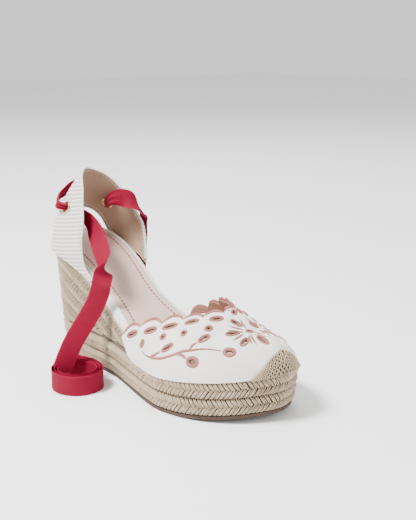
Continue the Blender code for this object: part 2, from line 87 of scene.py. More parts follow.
def lengths(points):
    """Distance run at each point of a line."""
    return np.concatenate([[0], np.cumsum(np.linalg.norm(np.diff(points, axis=0), axis=1))])


def unit(vectors):
    """The vectors at length one."""
    return vectors / np.linalg.norm(vectors, axis=-1, keepdims=True)


def sample(rows, run, at):
    """The rows of a table along a line, at given distances from its start."""
    return np.stack([np.interp(at, run, column) for column in rows.T], axis=-1)


def through(points, count, closed=False):
    """Evenly spaced points on a smooth curve through the given ones; columns after the third only follow."""
    points = np.asarray(points, float)
    if closed:
        padded = np.vstack([points[-1], points, points[:2]])
    else:
        padded = np.vstack([2 * points[0] - points[1], points, 2 * points[-1] - points[-2]])
    fine = []
    for a, b, c, d in zip(padded, padded[1:], padded[2:], padded[3:]):
        for t in np.linspace(0, 1, 24, endpoint=False):
            fine.append(0.5 * (2 * b + (c - a) * t + (2 * a - 5 * b + 4 * c - d) * t**2
                               + (3 * b - a - 3 * c + d) * t**3))
    fine = np.array(fine + [padded[-2]])
    run = lengths(fine[:, :3])
    return sample(fine, run, np.linspace(0, run[-1], count, endpoint=not closed))


def outward(loop):
    """Unit normals of a closed anticlockwise loop in plan."""
    along = unit(np.roll(loop, -1, axis=0) - np.roll(loop, 1, axis=0))
    return np.stack([along[:, 1], -along[:, 0]], axis=1)


def footbed(s):
    return value_at(FOOTBED, s)


def edge_inset(s):
    """How far the footbed's edge lies inside the jute outline."""
    return (6.3 + 2.7 * np.clip((s / MM - 30) / 70, 0, 1)) * MM


def wall_inset(s):
    """How far the wedge's wall lies inside the jute outline."""
    return edge_inset(s) - ROW_DEPTH + 1.6 * MM * np.clip((s / MM - 105) / 22, 0, 1)


def shaped(points):
    """Draws the layout's upright walls in towards the floor and lifts the toe."""
    points = np.array(points, float)
    s, y, z = points.reshape(-1, 3).T
    heel = np.clip(1 - s / (120 * MM), 0, 1) ** 2
    below = np.clip(1 - z / footbed(0.0), 0, 1)
    low = np.clip(1 - z / BASE_TOP, 0, 1) ** 1.5
    lift = 5 * MM * np.clip((s / MM - 175) / 65, 0, 2) ** 2
    away = np.stack([s - 120 * MM, y], axis=1)
    reach = np.linalg.norm(away, axis=1)[:, None]
    away = away / np.maximum(reach, MM) * np.minimum(reach / (30 * MM), 1)
    moved = np.stack([s, y], axis=1) - away * (3.5 * MM * low)[:, None]
    moved[:, 0] += 17 * MM * below * heel
    return np.column_stack([moved, z + lift]).reshape(points.shape)


LOOP = through(OUTLINE, 1440, closed=True)
LOOP_OUT = outward(LOOP)
LOOP_TIP = int(np.argmax(LOOP[:, 0]))

# ---------------------------------------------------------------- meshes


def quads(rows, columns, closed=False, flip=False):
    """Quads between the rows of a grid; closed joins the last column to the first."""
    i, j = np.meshgrid(np.arange(rows - 1), np.arange(columns if closed else columns - 1), indexing="ij")
    a, b = i * columns + j, i * columns + (j + 1) % columns
    faces = np.stack([a, b, b + columns, a + columns], axis=-1).reshape(-1, 4)
    return faces[:, ::-1] if flip else faces


def piece(name, shape, materials, face_material=None, bend=True, replaces=()):
    """A piece of the visual model from (points, faces, uv); uv is one pair of metres per point."""
    points, faces, uv = shape
    points = (shaped(points) if bend else points) + LAYOUT
    mesh = bpy.data.meshes.new(name)
    mesh.from_pydata(points.tolist(), [], [list(map(int, f)) for f in faces])
    for material in materials if isinstance(materials, list) else [materials]:
        mesh.materials.append(material)
    if face_material is not None:
        mesh.polygons.foreach_set("material_index", np.array(face_material, np.int32))
    corners = np.empty(len(mesh.loops), np.int32)
    mesh.loops.foreach_get("vertex_index", corners)
    mesh.uv_layers.new(name="UVMap").data.foreach_set("uv", uv.reshape(-1, 2)[corners].ravel())
    mesh.validate()
    mesh.shade_smooth()
    mesh.set_sharp_from_angle(angle=math.radians(50))
    obj = bpy.data.objects.new(name, mesh)
    bpy.context.collection.objects.link(obj)
    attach(obj, "root")
    if replaces:
        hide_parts(*replaces)
    return obj


def swept(sections, closed=False):
    """Points, faces and uv of a solid from equal rings, one after another, capped or closed on itself."""
    sections = np.asarray(sections, float)
    count, around = sections.shape[:2]
    run = lengths(sections.mean(axis=1))
    girth = lengths(np.vstack([sections[0], sections[0][:1]]))[:-1]
    uv = np.stack(np.meshgrid(run, girth, indexing="ij"), axis=-1)
    faces = quads(count, around, closed=True)
    last = (count - 1) * around
    if closed:
        wrap = quads(2, around, closed=True)
        faces = np.vstack([faces, np.where(wrap < around, wrap + last, wrap - around)]).tolist()
    else:
        faces = faces.tolist() + [list(range(around))[::-1], list(range(last, last + around))]
    return sections.reshape(-1, 3), faces, uv.reshape(-1, 2)


def strands(lines, normals, half_width, half_height, around=6, taper=0.35):
    """Many short yarns at once: lines is (yarns, points, 3); each is a closed, tapered tube."""
    yarns, steps = lines.shape[:2]
    tangent = unit(np.gradient(lines, axis=1))
    side = unit(np.cross(tangent, normals))
    up = np.cross(side, tangent)
    scale = (1 - np.abs(np.linspace(-1, 1, steps)) ** 3 * (1 - taper))[None, :, None, None]
    angle = np.linspace(0, 2 * math.pi, around, endpoint=False)
    turn = angle[None, None, :, None]
    ring = (np.cos(turn) * side[:, :, None] * np.reshape(half_width, (-1, 1, 1, 1))
            + np.sin(turn) * up[:, :, None] * np.reshape(half_height, (-1, 1, 1, 1)))
    points = lines[:, :, None] + ring * scale
    run = np.linalg.norm(np.diff(lines, axis=1), axis=2).cumsum(axis=1)
    run = np.concatenate([np.zeros((yarns, 1)), run], axis=1)
    uv = np.stack(np.broadcast_arrays(run[:, :, None] + RANDOM.random((yarns, 1, 1)),
                                      (angle * 0.6 * MM)[None, None, :]), axis=-1)
    size = steps * around
    one = quads(steps, around, closed=True)
    faces = (one[None] + (np.arange(yarns) * size)[:, None, None]).reshape(-1, 4).tolist()
    for first in range(0, yarns * size, size):
        faces.append(list(range(first, first + around))[::-1])
        faces.append(list(range(first + size - around, first + size)))
    return points.reshape(-1, 3), faces, uv.reshape(-1, 2)


def joined(*shapes):
    """Several (points, faces, uv) as one."""
    starts = np.cumsum([0] + [len(points) for points, _, _ in shapes]).tolist()
    faces = [[start + q for q in face] for start, (_, own, _) in zip(starts, shapes) for face in own]
    return np.vstack([points for points, _, _ in shapes]), faces, np.vstack([uv for _, _, uv in shapes])


def merged(*grids):
    """Grids that share edges as one surface: each has points, their uv, and whether its faces turn over."""
    points = np.vstack([grid.reshape(-1, 3) for grid, _, _ in grids])
    uv = np.vstack([flat.reshape(-1, 2) for _, flat, _ in grids])
    faces, start = [], 0
    for grid, _, flip in grids:
        faces.append(quads(*grid.shape[:2], flip=flip) + start)
        start += grid.shape[0] * grid.shape[1]
    keys = np.round(points / (0.004 * MM)).astype(np.int64)
    _, first, index = np.unique(keys, axis=0, return_index=True, return_inverse=True)
    clean = []
    for face in index.reshape(-1)[np.vstack(faces)]:
        ring = [int(q) for k, q in enumerate(face) if q != face[k - 1]]
        if len(set(ring)) == len(ring) > 2:
            clean.append(ring)
    return points[first], clean, uv[first]


def normals_of(points, faces):
    """Vertex normals of a mesh given by rings of three or four points."""
    normal = np.zeros_like(points)
    for size in (3, 4):
        group = np.array([f for f in faces if len(f) == size], int)
        if len(group):
            a, b, c = points[group[:, 0]], points[group[:, 1]], points[group[:, 2]]
            n = np.cross(b - a, c - a)
            if size == 4:
                n += np.cross(c - a, points[group[:, 3]] - a)
            for k in range(size):
                np.add.at(normal, group[:, k], n)
    return normal / np.maximum(np.linalg.norm(normal, axis=1)[:, None], 1e-12)


def outer_side(points, faces, inside):
    """The faces and their normals, turned away from a point inside the shoe."""
    normals = normals_of(points, faces)
    if ((points - inside) * normals).sum() < 0:
        return [f[::-1] for f in faces], -normals
    return faces, normals


def thick(points, faces, normals, inner, outer, uv):
    """A closed shell between two offsets of a surface, with a rim round each free edge."""
    used = np.unique(np.concatenate([np.array(f) for f in faces]))
    renumber = np.full(len(points), -1)
    renumber[used] = np.arange(len(used))
    outer, inner = (np.broadcast_to(offset, len(points))[used][:, None] for offset in (outer, inner))
    points, normals, uv = points[used], normals[used], uv[used]
    faces = [[int(renumber[q]) for q in f] for f in faces]
    count = len(points)
    edges = {(f[k - 1], f[k]) for f in faces for k in range(len(f))}
    solid = faces + [[q + count for q in reversed(f)] for f in faces]
    solid += [[b, a, a + count, b + count] for a, b in edges if (b, a) not in edges]
    return np.vstack([points + normals * outer, points + normals * inner]), solid, np.vstack([uv, uv])


# ---------------------------------------------------------------- materials


class Look:
    """A procedural material under construction: a Principled shader and the nodes that feed it."""

    def __init__(self, name, roughness=0.85, metallic=0.0, sheen=0.0, specular=0.35):
        self.material = bpy.data.materials.new(name)
        self.material.use_nodes = True
        self.tree = self.material.node_tree
        self.shader = self.tree.nodes["Principled BSDF"]
        for key, value in (("Roughness", roughness), ("Metallic", metallic), ("Specular IOR Level", specular),
                           ("Sheen Weight", sheen), ("Sheen Roughness", 0.5)):
            self.shader.inputs[key].default_value = value

    def feed(self, socket, source):
        """Gives an input its value: another node's output, a number, a vector or a colour."""
        if isinstance(source, (int, float)):
            socket.default_value = source
        elif isinstance(source, tuple):
            socket.default_value = (*source, 1)[: len(socket.default_value)]
        else:
            self.tree.links.new(source, socket)

    def node(self, kind, *sources, **settings):
        """A node, fed in the order of its inputs, with its named inputs and settings."""
        node = self.tree.nodes.new(kind)
        for key, value in settings.items():
            if key in node.inputs:
                node.inputs[key].default_value = value
            else:
                setattr(node, key, value)
        for socket, source in zip(node.inputs, sources):
            self.feed(socket, source)
        return node

    def math(self, operation, *sources):
        return self.node("ShaderNodeMath", *sources, operation=operation).outputs[0]

    def times(self, a, b):
        return self.math("MULTIPLY", a, b)

    def wave(self, source, half_turns):
        """A sine of the source, in half turns for each unit of it."""
        return self.math("SINE", self.times(source, half_turns * math.pi))

    def place(self):
        return self.node("ShaderNodeTexCoord").outputs["Object"]

    def uv(self, du=1.0, dv=1.0):
        """The uv coordinates, each divided by a length in metres."""
        split = self.node("ShaderNodeSeparateXYZ", self.node("ShaderNodeUVMap").outputs[0]).outputs
        return self.math("DIVIDE", split[0], du), self.math("DIVIDE", split[1], dv)

    def noise(self, scale, detail=3.0, where=None):
        """Noise from 0 to 1: in object space, or along a given vector."""
        where = self.place() if where is None else where
        return self.node("ShaderNodeTexNoise", where, Scale=scale, Detail=detail).outputs["Fac"]

    def mix(self, factor, a, b):
        """Colour b over a by the factor."""
        node = self.node("ShaderNodeMix", data_type="RGBA")
        for index, source in ((0, factor), (6, a), (7, b)):
            self.feed(node.inputs[index], source)
        return node.outputs[2]

    def spread(self, source, low, high, to_low=0.0, to_high=1.0):
        return self.node("ShaderNodeMapRange", source, low, high, to_low, to_high).outputs[0]

    def color(self, source):
        self.feed(self.shader.inputs["Base Color"], source)

    def rough(self, source):
        self.feed(self.shader.inputs["Roughness"], source)

    def bump(self, height, distance, strength=1.0):
        """Lays bumps over those made before, and gives the material."""
        node = self.node("ShaderNodeBump", Strength=strength, Distance=distance)
        self.feed(node.inputs["Height"], height)
        normal = self.shader.inputs["Normal"]
        if normal.links:
            self.feed(node.inputs["Normal"], normal.links[0].from_socket)
        self.feed(normal, node.outputs[0])
        return self.material


def weave_height(look, pitch):
    """Plain weave from uv: one thread over, one under."""
    su, sv = (look.wave(x, 1) for x in look.uv(pitch, pitch))
    apart = look.math("ABSOLUTE", look.math("SUBTRACT", su, sv))
    return look.math("ADD", look.times(su, sv), look.times(apart, 0.35))


def canvas_look():
    look = Look("off_white_canvas", 0.88, sheen=0.15)
    height = weave_height(look, 0.55 * MM)
    tone = look.mix(look.noise(60, 4), (0.72, 0.70, 0.63), (0.80, 0.785, 0.725))
    # painted shade: the canvas darkens in the hollows of the weave, where the bump height is lowest
    look.color(look.mix(look.spread(height, -1, 1, 0.4, 0), tone, (0.50, 0.475, 0.41)))
    return look.bump(height, 0.10 * MM, 0.7)


def jute_look(name, light, dark, fuzz=1.0):
    look = Look(name, 0.93, sheen=0.2)
    fibre = look.node("ShaderNodeCombineXYZ", *look.uv()).outputs[0]
    fibre = look.node("ShaderNodeVectorMath", fibre, (0.35, 3.0, 1.0), operation="MULTIPLY").outputs[0]
    streak = look.noise(900, 2, fibre)
    tone = look.mix(look.spread(look.noise(45), 0.3, 0.7), dark, light)
    speck = look.spread(look.noise(700, 2), 0.62, 0.74)
    shade = look.times(look.spread(streak, 0.45, 0.68), 0.55 * fuzz)
    tone = look.mix(shade, tone, tuple(c * 0.45 for c in dark))
    look.color(look.mix(look.times(speck, 0.35 * fuzz), tone, (0.20, 0.14, 0.09)))
    return look.bump(streak, 0.15 * MM, 0.8)


def leather_look(name, light, dark, roughness):
    look = Look(name, roughness, specular=0.4)
    pebble = look.node("ShaderNodeTexVoronoi", look.place(), Scale=500.0).outputs["Distance"]
    look.color(look.mix(look.noise(28, 4), dark, light))
    look.rough(look.spread(look.noise(90, 2), 0.3, 0.7, roughness - 0.08, roughness + 0.1))
    return look.bump(pebble, 0.08 * MM, 0.35)


def thread_look(name, light, dark, sheen=0.3):
    look = Look(name, 0.6, sheen=sheen, specular=0.5)
    lines = look.wave(look.uv(0.45 * MM)[0], 2)
    # painted shade and highlight: the thread is coloured dark in the grooves of its twist and light on the
    # crests, by the same wave as its bumps
    look.color(look.mix(look.spread(lines, -1, 1), dark, light))
    return look.bump(lines, 0.08 * MM, 0.6)


def woven_look():
    """The counter's cloth: off-white floats in rows, with tan dashes between them."""
    look = Look("woven_counter", 0.9, sheen=0.15)
    u, v = look.uv(WEAVE_U, WEAVE_V)
    row = look.math("FRACT", v)
    cell = look.math("FRACT", look.math("ADD", u, look.times(look.math("FLOOR", v), 0.5)))
    dash_u = look.times(look.spread(cell, 0.04, 0.12), look.spread(cell, 0.62, 0.54))
    dash_v = look.times(look.spread(row, 0.0, 0.05), look.spread(row, 0.60, 0.52))
    white = look.mix(look.noise(80), (0.68, 0.655, 0.615), (0.77, 0.75, 0.715))
    tone = look.mix(look.times(look.spread(cell, 0.86, 0.98), 0.35), white, (0.56, 0.46, 0.37))
    look.color(look.mix(look.times(look.times(dash_u, dash_v), 0.95), tone, (0.20, 0.105, 0.055)))
    threads = look.wave(look.math("FRACT", look.times(v, 4.0)), 1)
    return look.bump(threads, 0.12 * MM, 0.7)


def ribbon_look():
    look = Look("crimson_ribbon", 0.72, specular=0.15)
    u, v = look.uv(0.5 * MM, RIBBON * MM)
    ribs = look.wave(u, 2)
    selvedge = look.spread(look.math("ABSOLUTE", look.math("SUBTRACT", v, 0.5)), 0.425, 0.455)
    body = look.mix(look.noise(120), (0.165, 0.0, 0.014), (0.24, 0.0, 0.022))
    tone = look.mix(look.times(selvedge, 0.5), body, (0.33, 0.002, 0.035))
    # painted shade: the ribbon darkens in the grooves between its ribs, by the same wave as its bumps
    look.color(look.mix(look.spread(ribs, -1, 1, 0.28, 0), tone, (0.09, 0.0, 0.008)))
    look.bump(ribs, 0.09 * MM, 0.6)
    return look.bump(look.noise(900, 2), 0.05 * MM, 0.5)


def plain_look(name, light, dark, roughness, scale=200, metallic=0.0, depth=0.05):
    look = Look(name, roughness, metallic)
    grain = look.noise(scale, 4)
    look.color(look.mix(grain, dark, light))
    look.rough(look.spread(look.noise(scale / 3, 2), 0.3, 0.7, roughness - 0.06, roughness + 0.08))
    return look.bump(grain, depth * MM, 0.5)


# ---------------------------------------------------------------- the jute

YARN_PITCH = 1.08 * MM
YARNS_IN_STRAND = 3


def braided_row(name, path, out, wall, low, high, closed, look, painted_shade_look):
    """A flat braid along a path in plan: two lobes of slanted yarns meet in chevrons, over an inner body
    painted dark as the shade between them.
    """
    table = np.column_stack([path, out, wall, low, high])
    if closed:
        table = np.vstack([table, table[:1]])
    run = lengths(table[:, :2])
    total = run[-1]

    def at(a):
        a = a % total if closed else np.clip(a, 0, total)
        row = sample(table, run, a)
        return row[..., :2], row[..., 2:4], row[..., 4], row[..., 5], row[..., 6]

    count = int(total / YARN_PITCH / YARNS_IN_STRAND) * YARNS_IN_STRAND
    group, within = np.divmod(np.arange(count), YARNS_IN_STRAND)
    strand = total / count * YARNS_IN_STRAND
    start = group * strand + (within - 1) * strand * 0.255 + RANDOM.normal(0, 0.06 * MM, count)
    proud = (within == 1)[:, None]
    t = np.linspace(0, 1, 7)
    parts = []
    for upper in (1, -1):
        lean = 4.2 * MM + RANDOM.normal(0, 0.3 * MM, count)
        along = start[:, None] + (0.5 * strand if upper < 0 else 0) + lean[:, None] * (1 - t)
        plan, away, inset, bottom, top = at(along)
        height = bottom + (top - bottom) * (0.5 + upper * (-0.03 + 0.525 * t))
        room = np.clip((top - bottom) / (8 * MM), 0.25, 1)
        lobe = np.sin(math.pi * t) ** 0.7
        depth = inset + (1.35 - lobe * room - 0.40 * proud * lobe) * MM
        depth = depth + RANDOM.normal(0, 0.11 * MM, (count, 1)) + RANDOM.normal(0, 0.04 * MM, depth.shape)
        line = np.dstack([plan - away * depth[..., None], height])
        normal = unit(np.dstack([away, np.broadcast_to(upper * (t - 0.5) * 0.9, height.shape)]))
        wide = (np.clip((top - bottom)[:, 3], 2 * MM, ROW) / ROW) ** 0.3
        width = 0.43 * MM * wide * RANDOM.uniform(0.8, 1.2, count)
        parts.append(strands(line, normal, width, 0.75 * MM * wide))
    # the inner body behind the yarns, which takes the painted shade material
    sections = []
    for row in table[: len(path) : max(1, len(path) // 150)]:
        inset, bottom, top = row[4:]
        rounding = min(1.0 * MM, (top - bottom) / 4)
        profile = [(5.4 * MM, bottom), (2.3 * MM, bottom), (1.7 * MM, bottom + rounding),
                   (1.7 * MM, top - rounding), (2.3 * MM, top), (5.4 * MM, top)]
        sections.append([(*(row[:2] - row[2:4] * (inset + deeper)), z) for deeper, z in profile])
    painted_shade_core = swept(sections, closed)
    braid = joined(painted_shade_core, *parts)
    material_of = [0] * len(painted_shade_core[1]) + [1] * (len(braid[1]) - len(painted_shade_core[1]))
    piece(f"braid_{name}", braid, [painted_shade_look, look], material_of, replaces=[name])


def heel_path(end):
    """The outline round the heel, from the lateral side's s = end to the medial side's."""
    order = list(range(LOOP_TIP, 0, -1)) + [0] + list(range(len(LOOP) - 1, LOOP_TIP, -1))
    order = [k for k in order if LOOP[k, 0] <= end]
    return LOOP[order], LOOP_OUT[order]


def jute():
    light = jute_look("jute_yarn", (0.56, 0.44, 0.31), (0.43, 0.325, 0.215))
    # painted shade: the wedge rows get a darker copy of the same jute yarn
    painted_shade_jute = jute_look("jute_wedge_yarn_painted_shade", (0.50, 0.39, 0.27), (0.37, 0.28, 0.185))
    # painted shade: near-black jute for the braids' inner body, standing for the shade in the gaps between
    # the yarns
    painted_shade_core = jute_look("jute_core_painted_shade", (0.15, 0.10, 0.06), (0.09, 0.06, 0.035))
    ones = np.ones(len(LOOP))
    for name, bottom in (("lower", OUTSOLE + GAP), ("upper", OUTSOLE + ROW + 2 * GAP)):
        braided_row(f"jute_base_row_{name}", LOOP, LOOP_OUT, 0 * ones, bottom * ones, (bottom + ROW) * ones,
                    True, light, painted_shade_core)
    for number in range(5):
        drop = BINDING_DROP + GAP + number * PITCH
        ends = np.linspace(20, 140, 481) * MM
        end = ends[np.argmin(np.abs(footbed(ends) - drop - BASE_TOP - GAP - 1.6 * MM))]
        path, out = heel_path(end)
        s = path[:, 0]
        top = footbed(s) - drop
        low = np.maximum(BASE_TOP + GAP, top - PITCH + GAP)
        braided_row(f"jute_wedge_row_{number + 1}", path, out, wall_inset(s), low, top, False, painted_shade_jute, painted_shade_core)


# ---------------------------------------------------------------- the footbed


def stitches(curve, normals, length, gap, width, height):
    """A row of thread stitches along a curve: each dips into the surface at its ends."""
    run = lengths(curve)
    count = int(run[-1] / (length + gap))
    t = np.linspace(0, 1, 6)
    at = (np.arange(count) * (run[-1] / count))[:, None] + t * length
    normal = unit(sample(normals, run, at))
    line = sample(curve, run, at) + normal * (np.sin(math.pi * t) ** 0.5 * height * 0.8)[None, :, None]
    return strands(line, normal, width / 2, height * 0.6, taper=0.5)


def sock(look, thread):
    """The leather sock lining: a soft-edged sheet over the footbed with a stitched line inside its edge."""
    loop = LOOP - LOOP_OUT * (edge_inset(LOOP[:, 0]) + 0.6 * MM)[:, None]
    tip = int(np.argmax(loop[:, 0]))
    back = int(np.argmin(loop[:100, 0]))
    lateral, medial = loop[back : tip + 1], np.vstack([loop[tip:], loop[: back + 1]])[::-1]
    start, end = lateral[0, 0], lateral[-1, 0]
    s = (start + end) / 2 + ((end - start) / 2 - 0.05 * MM) * np.cos(np.linspace(math.pi, 0, 170))
    left, right = (np.interp(s, side[:, 0], side[:, 1])[:, None] for side in (lateral, medial))
    y = (left + right) / 2 + (right - left) / 2 * np.sin(np.linspace(-math.pi / 2, math.pi / 2, 46))
    plan = np.stack([np.broadcast_to(s[:, None], y.shape), y], axis=-1)
    edge = np.min(np.linalg.norm(plan[:, :, None] - loop[None, None, ::12], axis=-1), axis=-1) / MM
    z = footbed(plan[..., 0]) - 0.75 * MM * np.clip(1 - edge / 2.2, 0, 1) ** 2
    z = z - 0.28 * MM * np.exp(-((edge - 5.2) / 0.8) ** 2) + 0.15 * MM * np.exp(-((edge - 2.6) / 1.2) ** 2)
    points, faces, uv = merged((np.dstack([plan, z]), plan, True))
    deep = np.maximum(1.15 * MM - (footbed(points[:, 0]) - points[:, 2]), 0.2 * MM)
    upright = np.tile((0.0, 0.0, 1.0), (len(points), 1))
    shell = thick(points, faces, upright, -deep, 0.0, uv)
    piece("sock_leather", shell, look, replaces=["sock_lining"])

    ring = LOOP - LOOP_OUT * (edge_inset(LOOP[:, 0]) + 5.8 * MM)[:, None]
    ring = through(ring[::24], 900, closed=True)
    ring = np.vstack([ring, ring[:1]])
    curve = np.column_stack([ring, footbed(ring[:, 0]) - 0.30 * MM])
    upright = np.tile((0.0, 0.0, 1.0), (len(curve), 1))
    piece("sock_stitching", stitches(curve, upright, 2.4 * MM, 1.1 * MM, 1.5 * MM, 0.6 * MM), thread)


def binding(look, thread):
    """The canvas-wrapped edge of the insole, whip-stitched to the top wedge row."""
    path, out = heel_path(131 * MM)
    pick = np.linspace(0, len(path) - 1, 240).round().astype(int)
    sections = []
    for point, away in zip(path[pick], out[pick]):
        wall, edge, top = wall_inset(point[0]), edge_inset(point[0]), footbed(point[0])
        width = edge - wall
        profile = [(edge, -7.3), (wall + 0.7 * MM, -7.3), (wall + 0.55 * MM, -6.6), (wall + 0.9 * MM, -5.2),
                   (wall + 0.27 * width, -3.4), (wall + 0.50 * width, -1.3), (wall + 0.72 * width, -0.1),
                   (edge - 0.9 * MM, 0.35), (edge - 0.25 * MM, 0.1), (edge, -0.6)]
        sections.append([(*(point - away * inset), top + rise * MM) for inset, rise in profile])
    piece("insole_edge_canvas", swept(sections), look, replaces=["insole_binding"])

    run = lengths(path)
    t = np.linspace(0, 1, 6)
    at = np.arange(2 * MM, run[-1] - 3 * MM, 2.1 * MM)[:, None] + t * 1.5 * MM
    plan, away = sample(path, run, at), sample(out, run, at)
    depth = wall_inset(plan[..., 0]) + (0.35 - 0.25 * np.sin(math.pi * t)) * MM
    z = footbed(plan[..., 0]) - (8.6 - 3.6 * t) * MM
    line = np.dstack([plan - away * depth[..., None], z])
    normal = unit(np.dstack([away, np.full(z.shape, 0.3)]))
    piece("insole_edge_whip_stitch", strands(line, normal, 0.42 * MM, 0.35 * MM), thread)


# ---------------------------------------------------------------- the vamp

FAN_START, FAN_REACH = 205 * MM, 18.7 * MM
VAMP_INSET = 1.0 * MM
TOE = 243.5 * MM
RIDGE = np.array([
    (120, 5, 80), (150, 6, 77), (176, 8.6, 70.3), (193, 5.4, 66.6), (205, 6, 59.5), (213, 6, 54),
    (223.7, 6.5, 50.5),
]) * MM
ARCHES = {
    "lateral": np.array([(0.122, 1.5), (0.176, 1.64), (0.205, 1.9), (0.2435, 2.0)]),
    "medial": np.array([(0.122, 1.8), (0.205, 1.25), (0.2435, 2.0)]),
}
# The scalloped top line: cusps as (cross-section, height round it), and how far each scallop bulges
CUSPS = {
    "lateral": ([(122.0, 0.154), (141.5, 0.325), (160.9, 0.443), (175.3, 0.560), (188.3, 0.664),
                 (197.3, 0.850), (195.5, 1.0)], [4.4, 3.4, 3.4, 3.2, 3.4, 3.6]),
    "medial": ([(122.0, 0.170), (141.5, 0.335), (157.0, 0.500), (170.5, 0.660), (183.0, 0.790),
                (195.0, 0.900), (195.5, 1.0)], [3.2, 2.7, 2.7, 2.7, 2.7, 2.4]),
}
ROUND = 60 * MM  # the arc from the vamp's foot to its ridge, used to turn heights into lengths
WING_FOOT, TONGUE_FOOT = 137.5 * MM, 216 * MM  # where the rows to the wing's tip and to the tongue start
OVER_VAMP = 1.15 * MM  # from the surface that on_vamp gives to the outside of the canvas
SIDES = ("lateral", "medial")


def half_outline(side):
    loop = LOOP - LOOP_OUT * VAMP_INSET
    tip = int(np.argmax(loop[:, 0]))
    return loop[: tip + 1] if side == "lateral" else np.vstack([loop[tip:], loop[:1]])[::-1]


HALVES = {side: half_outline(side) for side in SIDES}


def on_vamp(side, u, v):
    """Points of the vamp's surface: u is the cross-section, v runs from its foot (0) to the ridge (1)."""
    u, v = np.broadcast_arrays(np.asarray(u, float), np.asarray(v, float))
    half = HALVES[side]
    fan = int(np.searchsorted(half[:, 0], FAN_START))
    toe = half[fan:]
    run = lengths(toe)
    turned_by = (u - FAN_START) / (TOE - FAN_START)
    at = run[-1] * np.clip(turned_by, 0, 1)
    before = u <= FAN_START
    foot_s = np.where(before, u, np.interp(at, run, toe[:, 0]))
    behind = half[: fan + 1]
    foot_y = np.where(before, np.interp(u, behind[:, 0], behind[:, 1]), np.interp(at, run, toe[:, 1]))
    s = np.where(before, u, FAN_START + FAN_REACH * turned_by)
    ridge_y, ridge_z = value_at(RIDGE[:, [0, 1]], s), value_at(RIDGE[:, [0, 2]], s)
    power = 2 / value_at(ARCHES[side], u)
    inward = 1 - np.clip(np.cos(v * math.pi / 2), 0, 1) ** power
    up = np.clip(np.sin(v * math.pi / 2), 0, 1) ** power
    base = BASE_TOP + 0.8 * MM
    # the canvas laps over the top jute row, most at the wings
    lap = np.interp(u / MM, [136, 146, 165, 186, 205, 225, 243.5], [0.2, 2.6, 3.0, 2.4, 1.2, 0.7, 0.5]) * MM
    low = np.clip(1 - v / 0.16, 0, 1) ** 1.5
    push = unit(np.stack([foot_s - 175 * MM, foot_y * 1.3], axis=-1))
    push = push * (low * np.interp(u / MM, [205, 232], [0.9, 0.35]) * MM)[..., None]
    return np.stack([foot_s + (s - foot_s) * inward + push[..., 0],
                     foot_y + (ridge_y - foot_y) * inward + push[..., 1],
                     base + (ridge_z - base) * up - lap * low], axis=-1)


def scallops(side, per):
    """The scalloped top line in (cross-section, height), with so many points to a scallop."""
    cusps, bulges = CUSPS[side]
    cusps = np.array(cusps) * (MM, 1)
    line = [cusps[0]]
    t = np.linspace(0, 1, per + 1)[1:, None]
    for a, b, bulge in zip(cusps, cusps[1:], bulges):
        along = unit((b - a) * (1, ROUND))
        rise = bulge * MM * np.sin(math.pi * t) ** 0.75
        line.extend(a + (b - a) * t + np.array([-along[1], along[0]]) * rise / (1, ROUND))
    line = np.array(line)
    line[:, 1] = np.minimum(line[:, 1], 1.0)
    line[-1] = cusps[-1]
    return line


def rear_edge(side, columns):
    """The wing's rear edge in (cross-section, height), from its foot up to the tip."""
    tip = CUSPS[side][0][0]
    points = [(WING_FOOT / MM, 0.0), (131.5, tip[1] * 0.5), (126.0, tip[1] * 0.82), tip]
    return through(np.array(points) * (MM, 1), columns)


# The embroidery, as (cross-section in mm, height round it).
# Holes are sewn on both sides: the two ends of each, its width and its border's width in mm
HOLES = [
    ((130.8, 0.215), (139.5, 0.275), 2.3, 1.9), ((149.8, 0.322), (158.4, 0.383), 2.4, 1.9),
    ((165.6, 0.430), (173.3, 0.500), 2.4, 1.9), ((180.4, 0.557), (187.0, 0.620), 2.4, 1.8),
    ((194.0, 0.705), (197.8, 0.785), 2.3, 1.7),
    ((151.2, 0.240), (152.6, 0.205), 2.2, 1.8), ((168.8, 0.356), (170.7, 0.376), 2.6, 1.7),
    ((184.1, 0.463), (186.0, 0.477), 2.6, 1.7), ((197.1, 0.604), (198.5, 0.638), 2.3, 1.7),
    ((196.9, 0.953), (198.6, 0.926), 2.0, 1.5),
    ((176.7, 0.268), (181.4, 0.336), 2.4, 1.7), ((199.4, 0.470), (201.3, 0.557), 2.4, 1.7),
    ((215.8, 0.430), (219.0, 0.443), 3.2, 2.4), ((199.9, 0.235), (204.5, 0.242), 3.6, 2.4),
]
# The flower's petals are holes too, each on one side only, with narrower borders
PETAL_BORDER = 1.35
PETALS = [
    ("lateral", (202.7, 0.846), (209.9, 0.872), 2.4), ("lateral", (209.5, 0.671), (214.4, 0.758), 2.4),
    ("lateral", (222.1, 0.570), (223.2, 0.698), 3.0), ("lateral", (231.2, 0.785), (237.5, 0.638), 3.0),
    ("medial", (211.6, 0.940), (217.2, 0.872), 2.0), ("lateral", (219.0, 0.852), (222.8, 0.893), 1.4),
]
VINES = [
    [(154.9, 0.165), (159.1, 0.148), (164.2, 0.150), (169.3, 0.158), (177.6, 0.188), (183.7, 0.228),
     (188.8, 0.268), (193.4, 0.315), (198.0, 0.349), (204.1, 0.410), (208.8, 0.432), (213.4, 0.436)],
    [(189.0, 0.272), (194.3, 0.268), (198.0, 0.248)],
    [(166.1, 0.154), (171.6, 0.208), (174.9, 0.248)],
    [(196.7, 0.349), (197.1, 0.403), (198.6, 0.445)],
]
RAYS = [
    ((215.5, 0.839), (205.1, 0.772)), ((217.2, 0.799), (207.5, 0.722)), ((218.6, 0.772), (215.8, 0.610)),
    ((216.5, 0.886), (204.2, 0.930)), ((222.8, 0.799), (228.0, 0.600)), ((224.2, 0.819), (230.8, 0.600)),
    ((226.0, 0.846), (239.8, 0.832)), ((224.9, 0.900), (240.5, 0.920)),
]


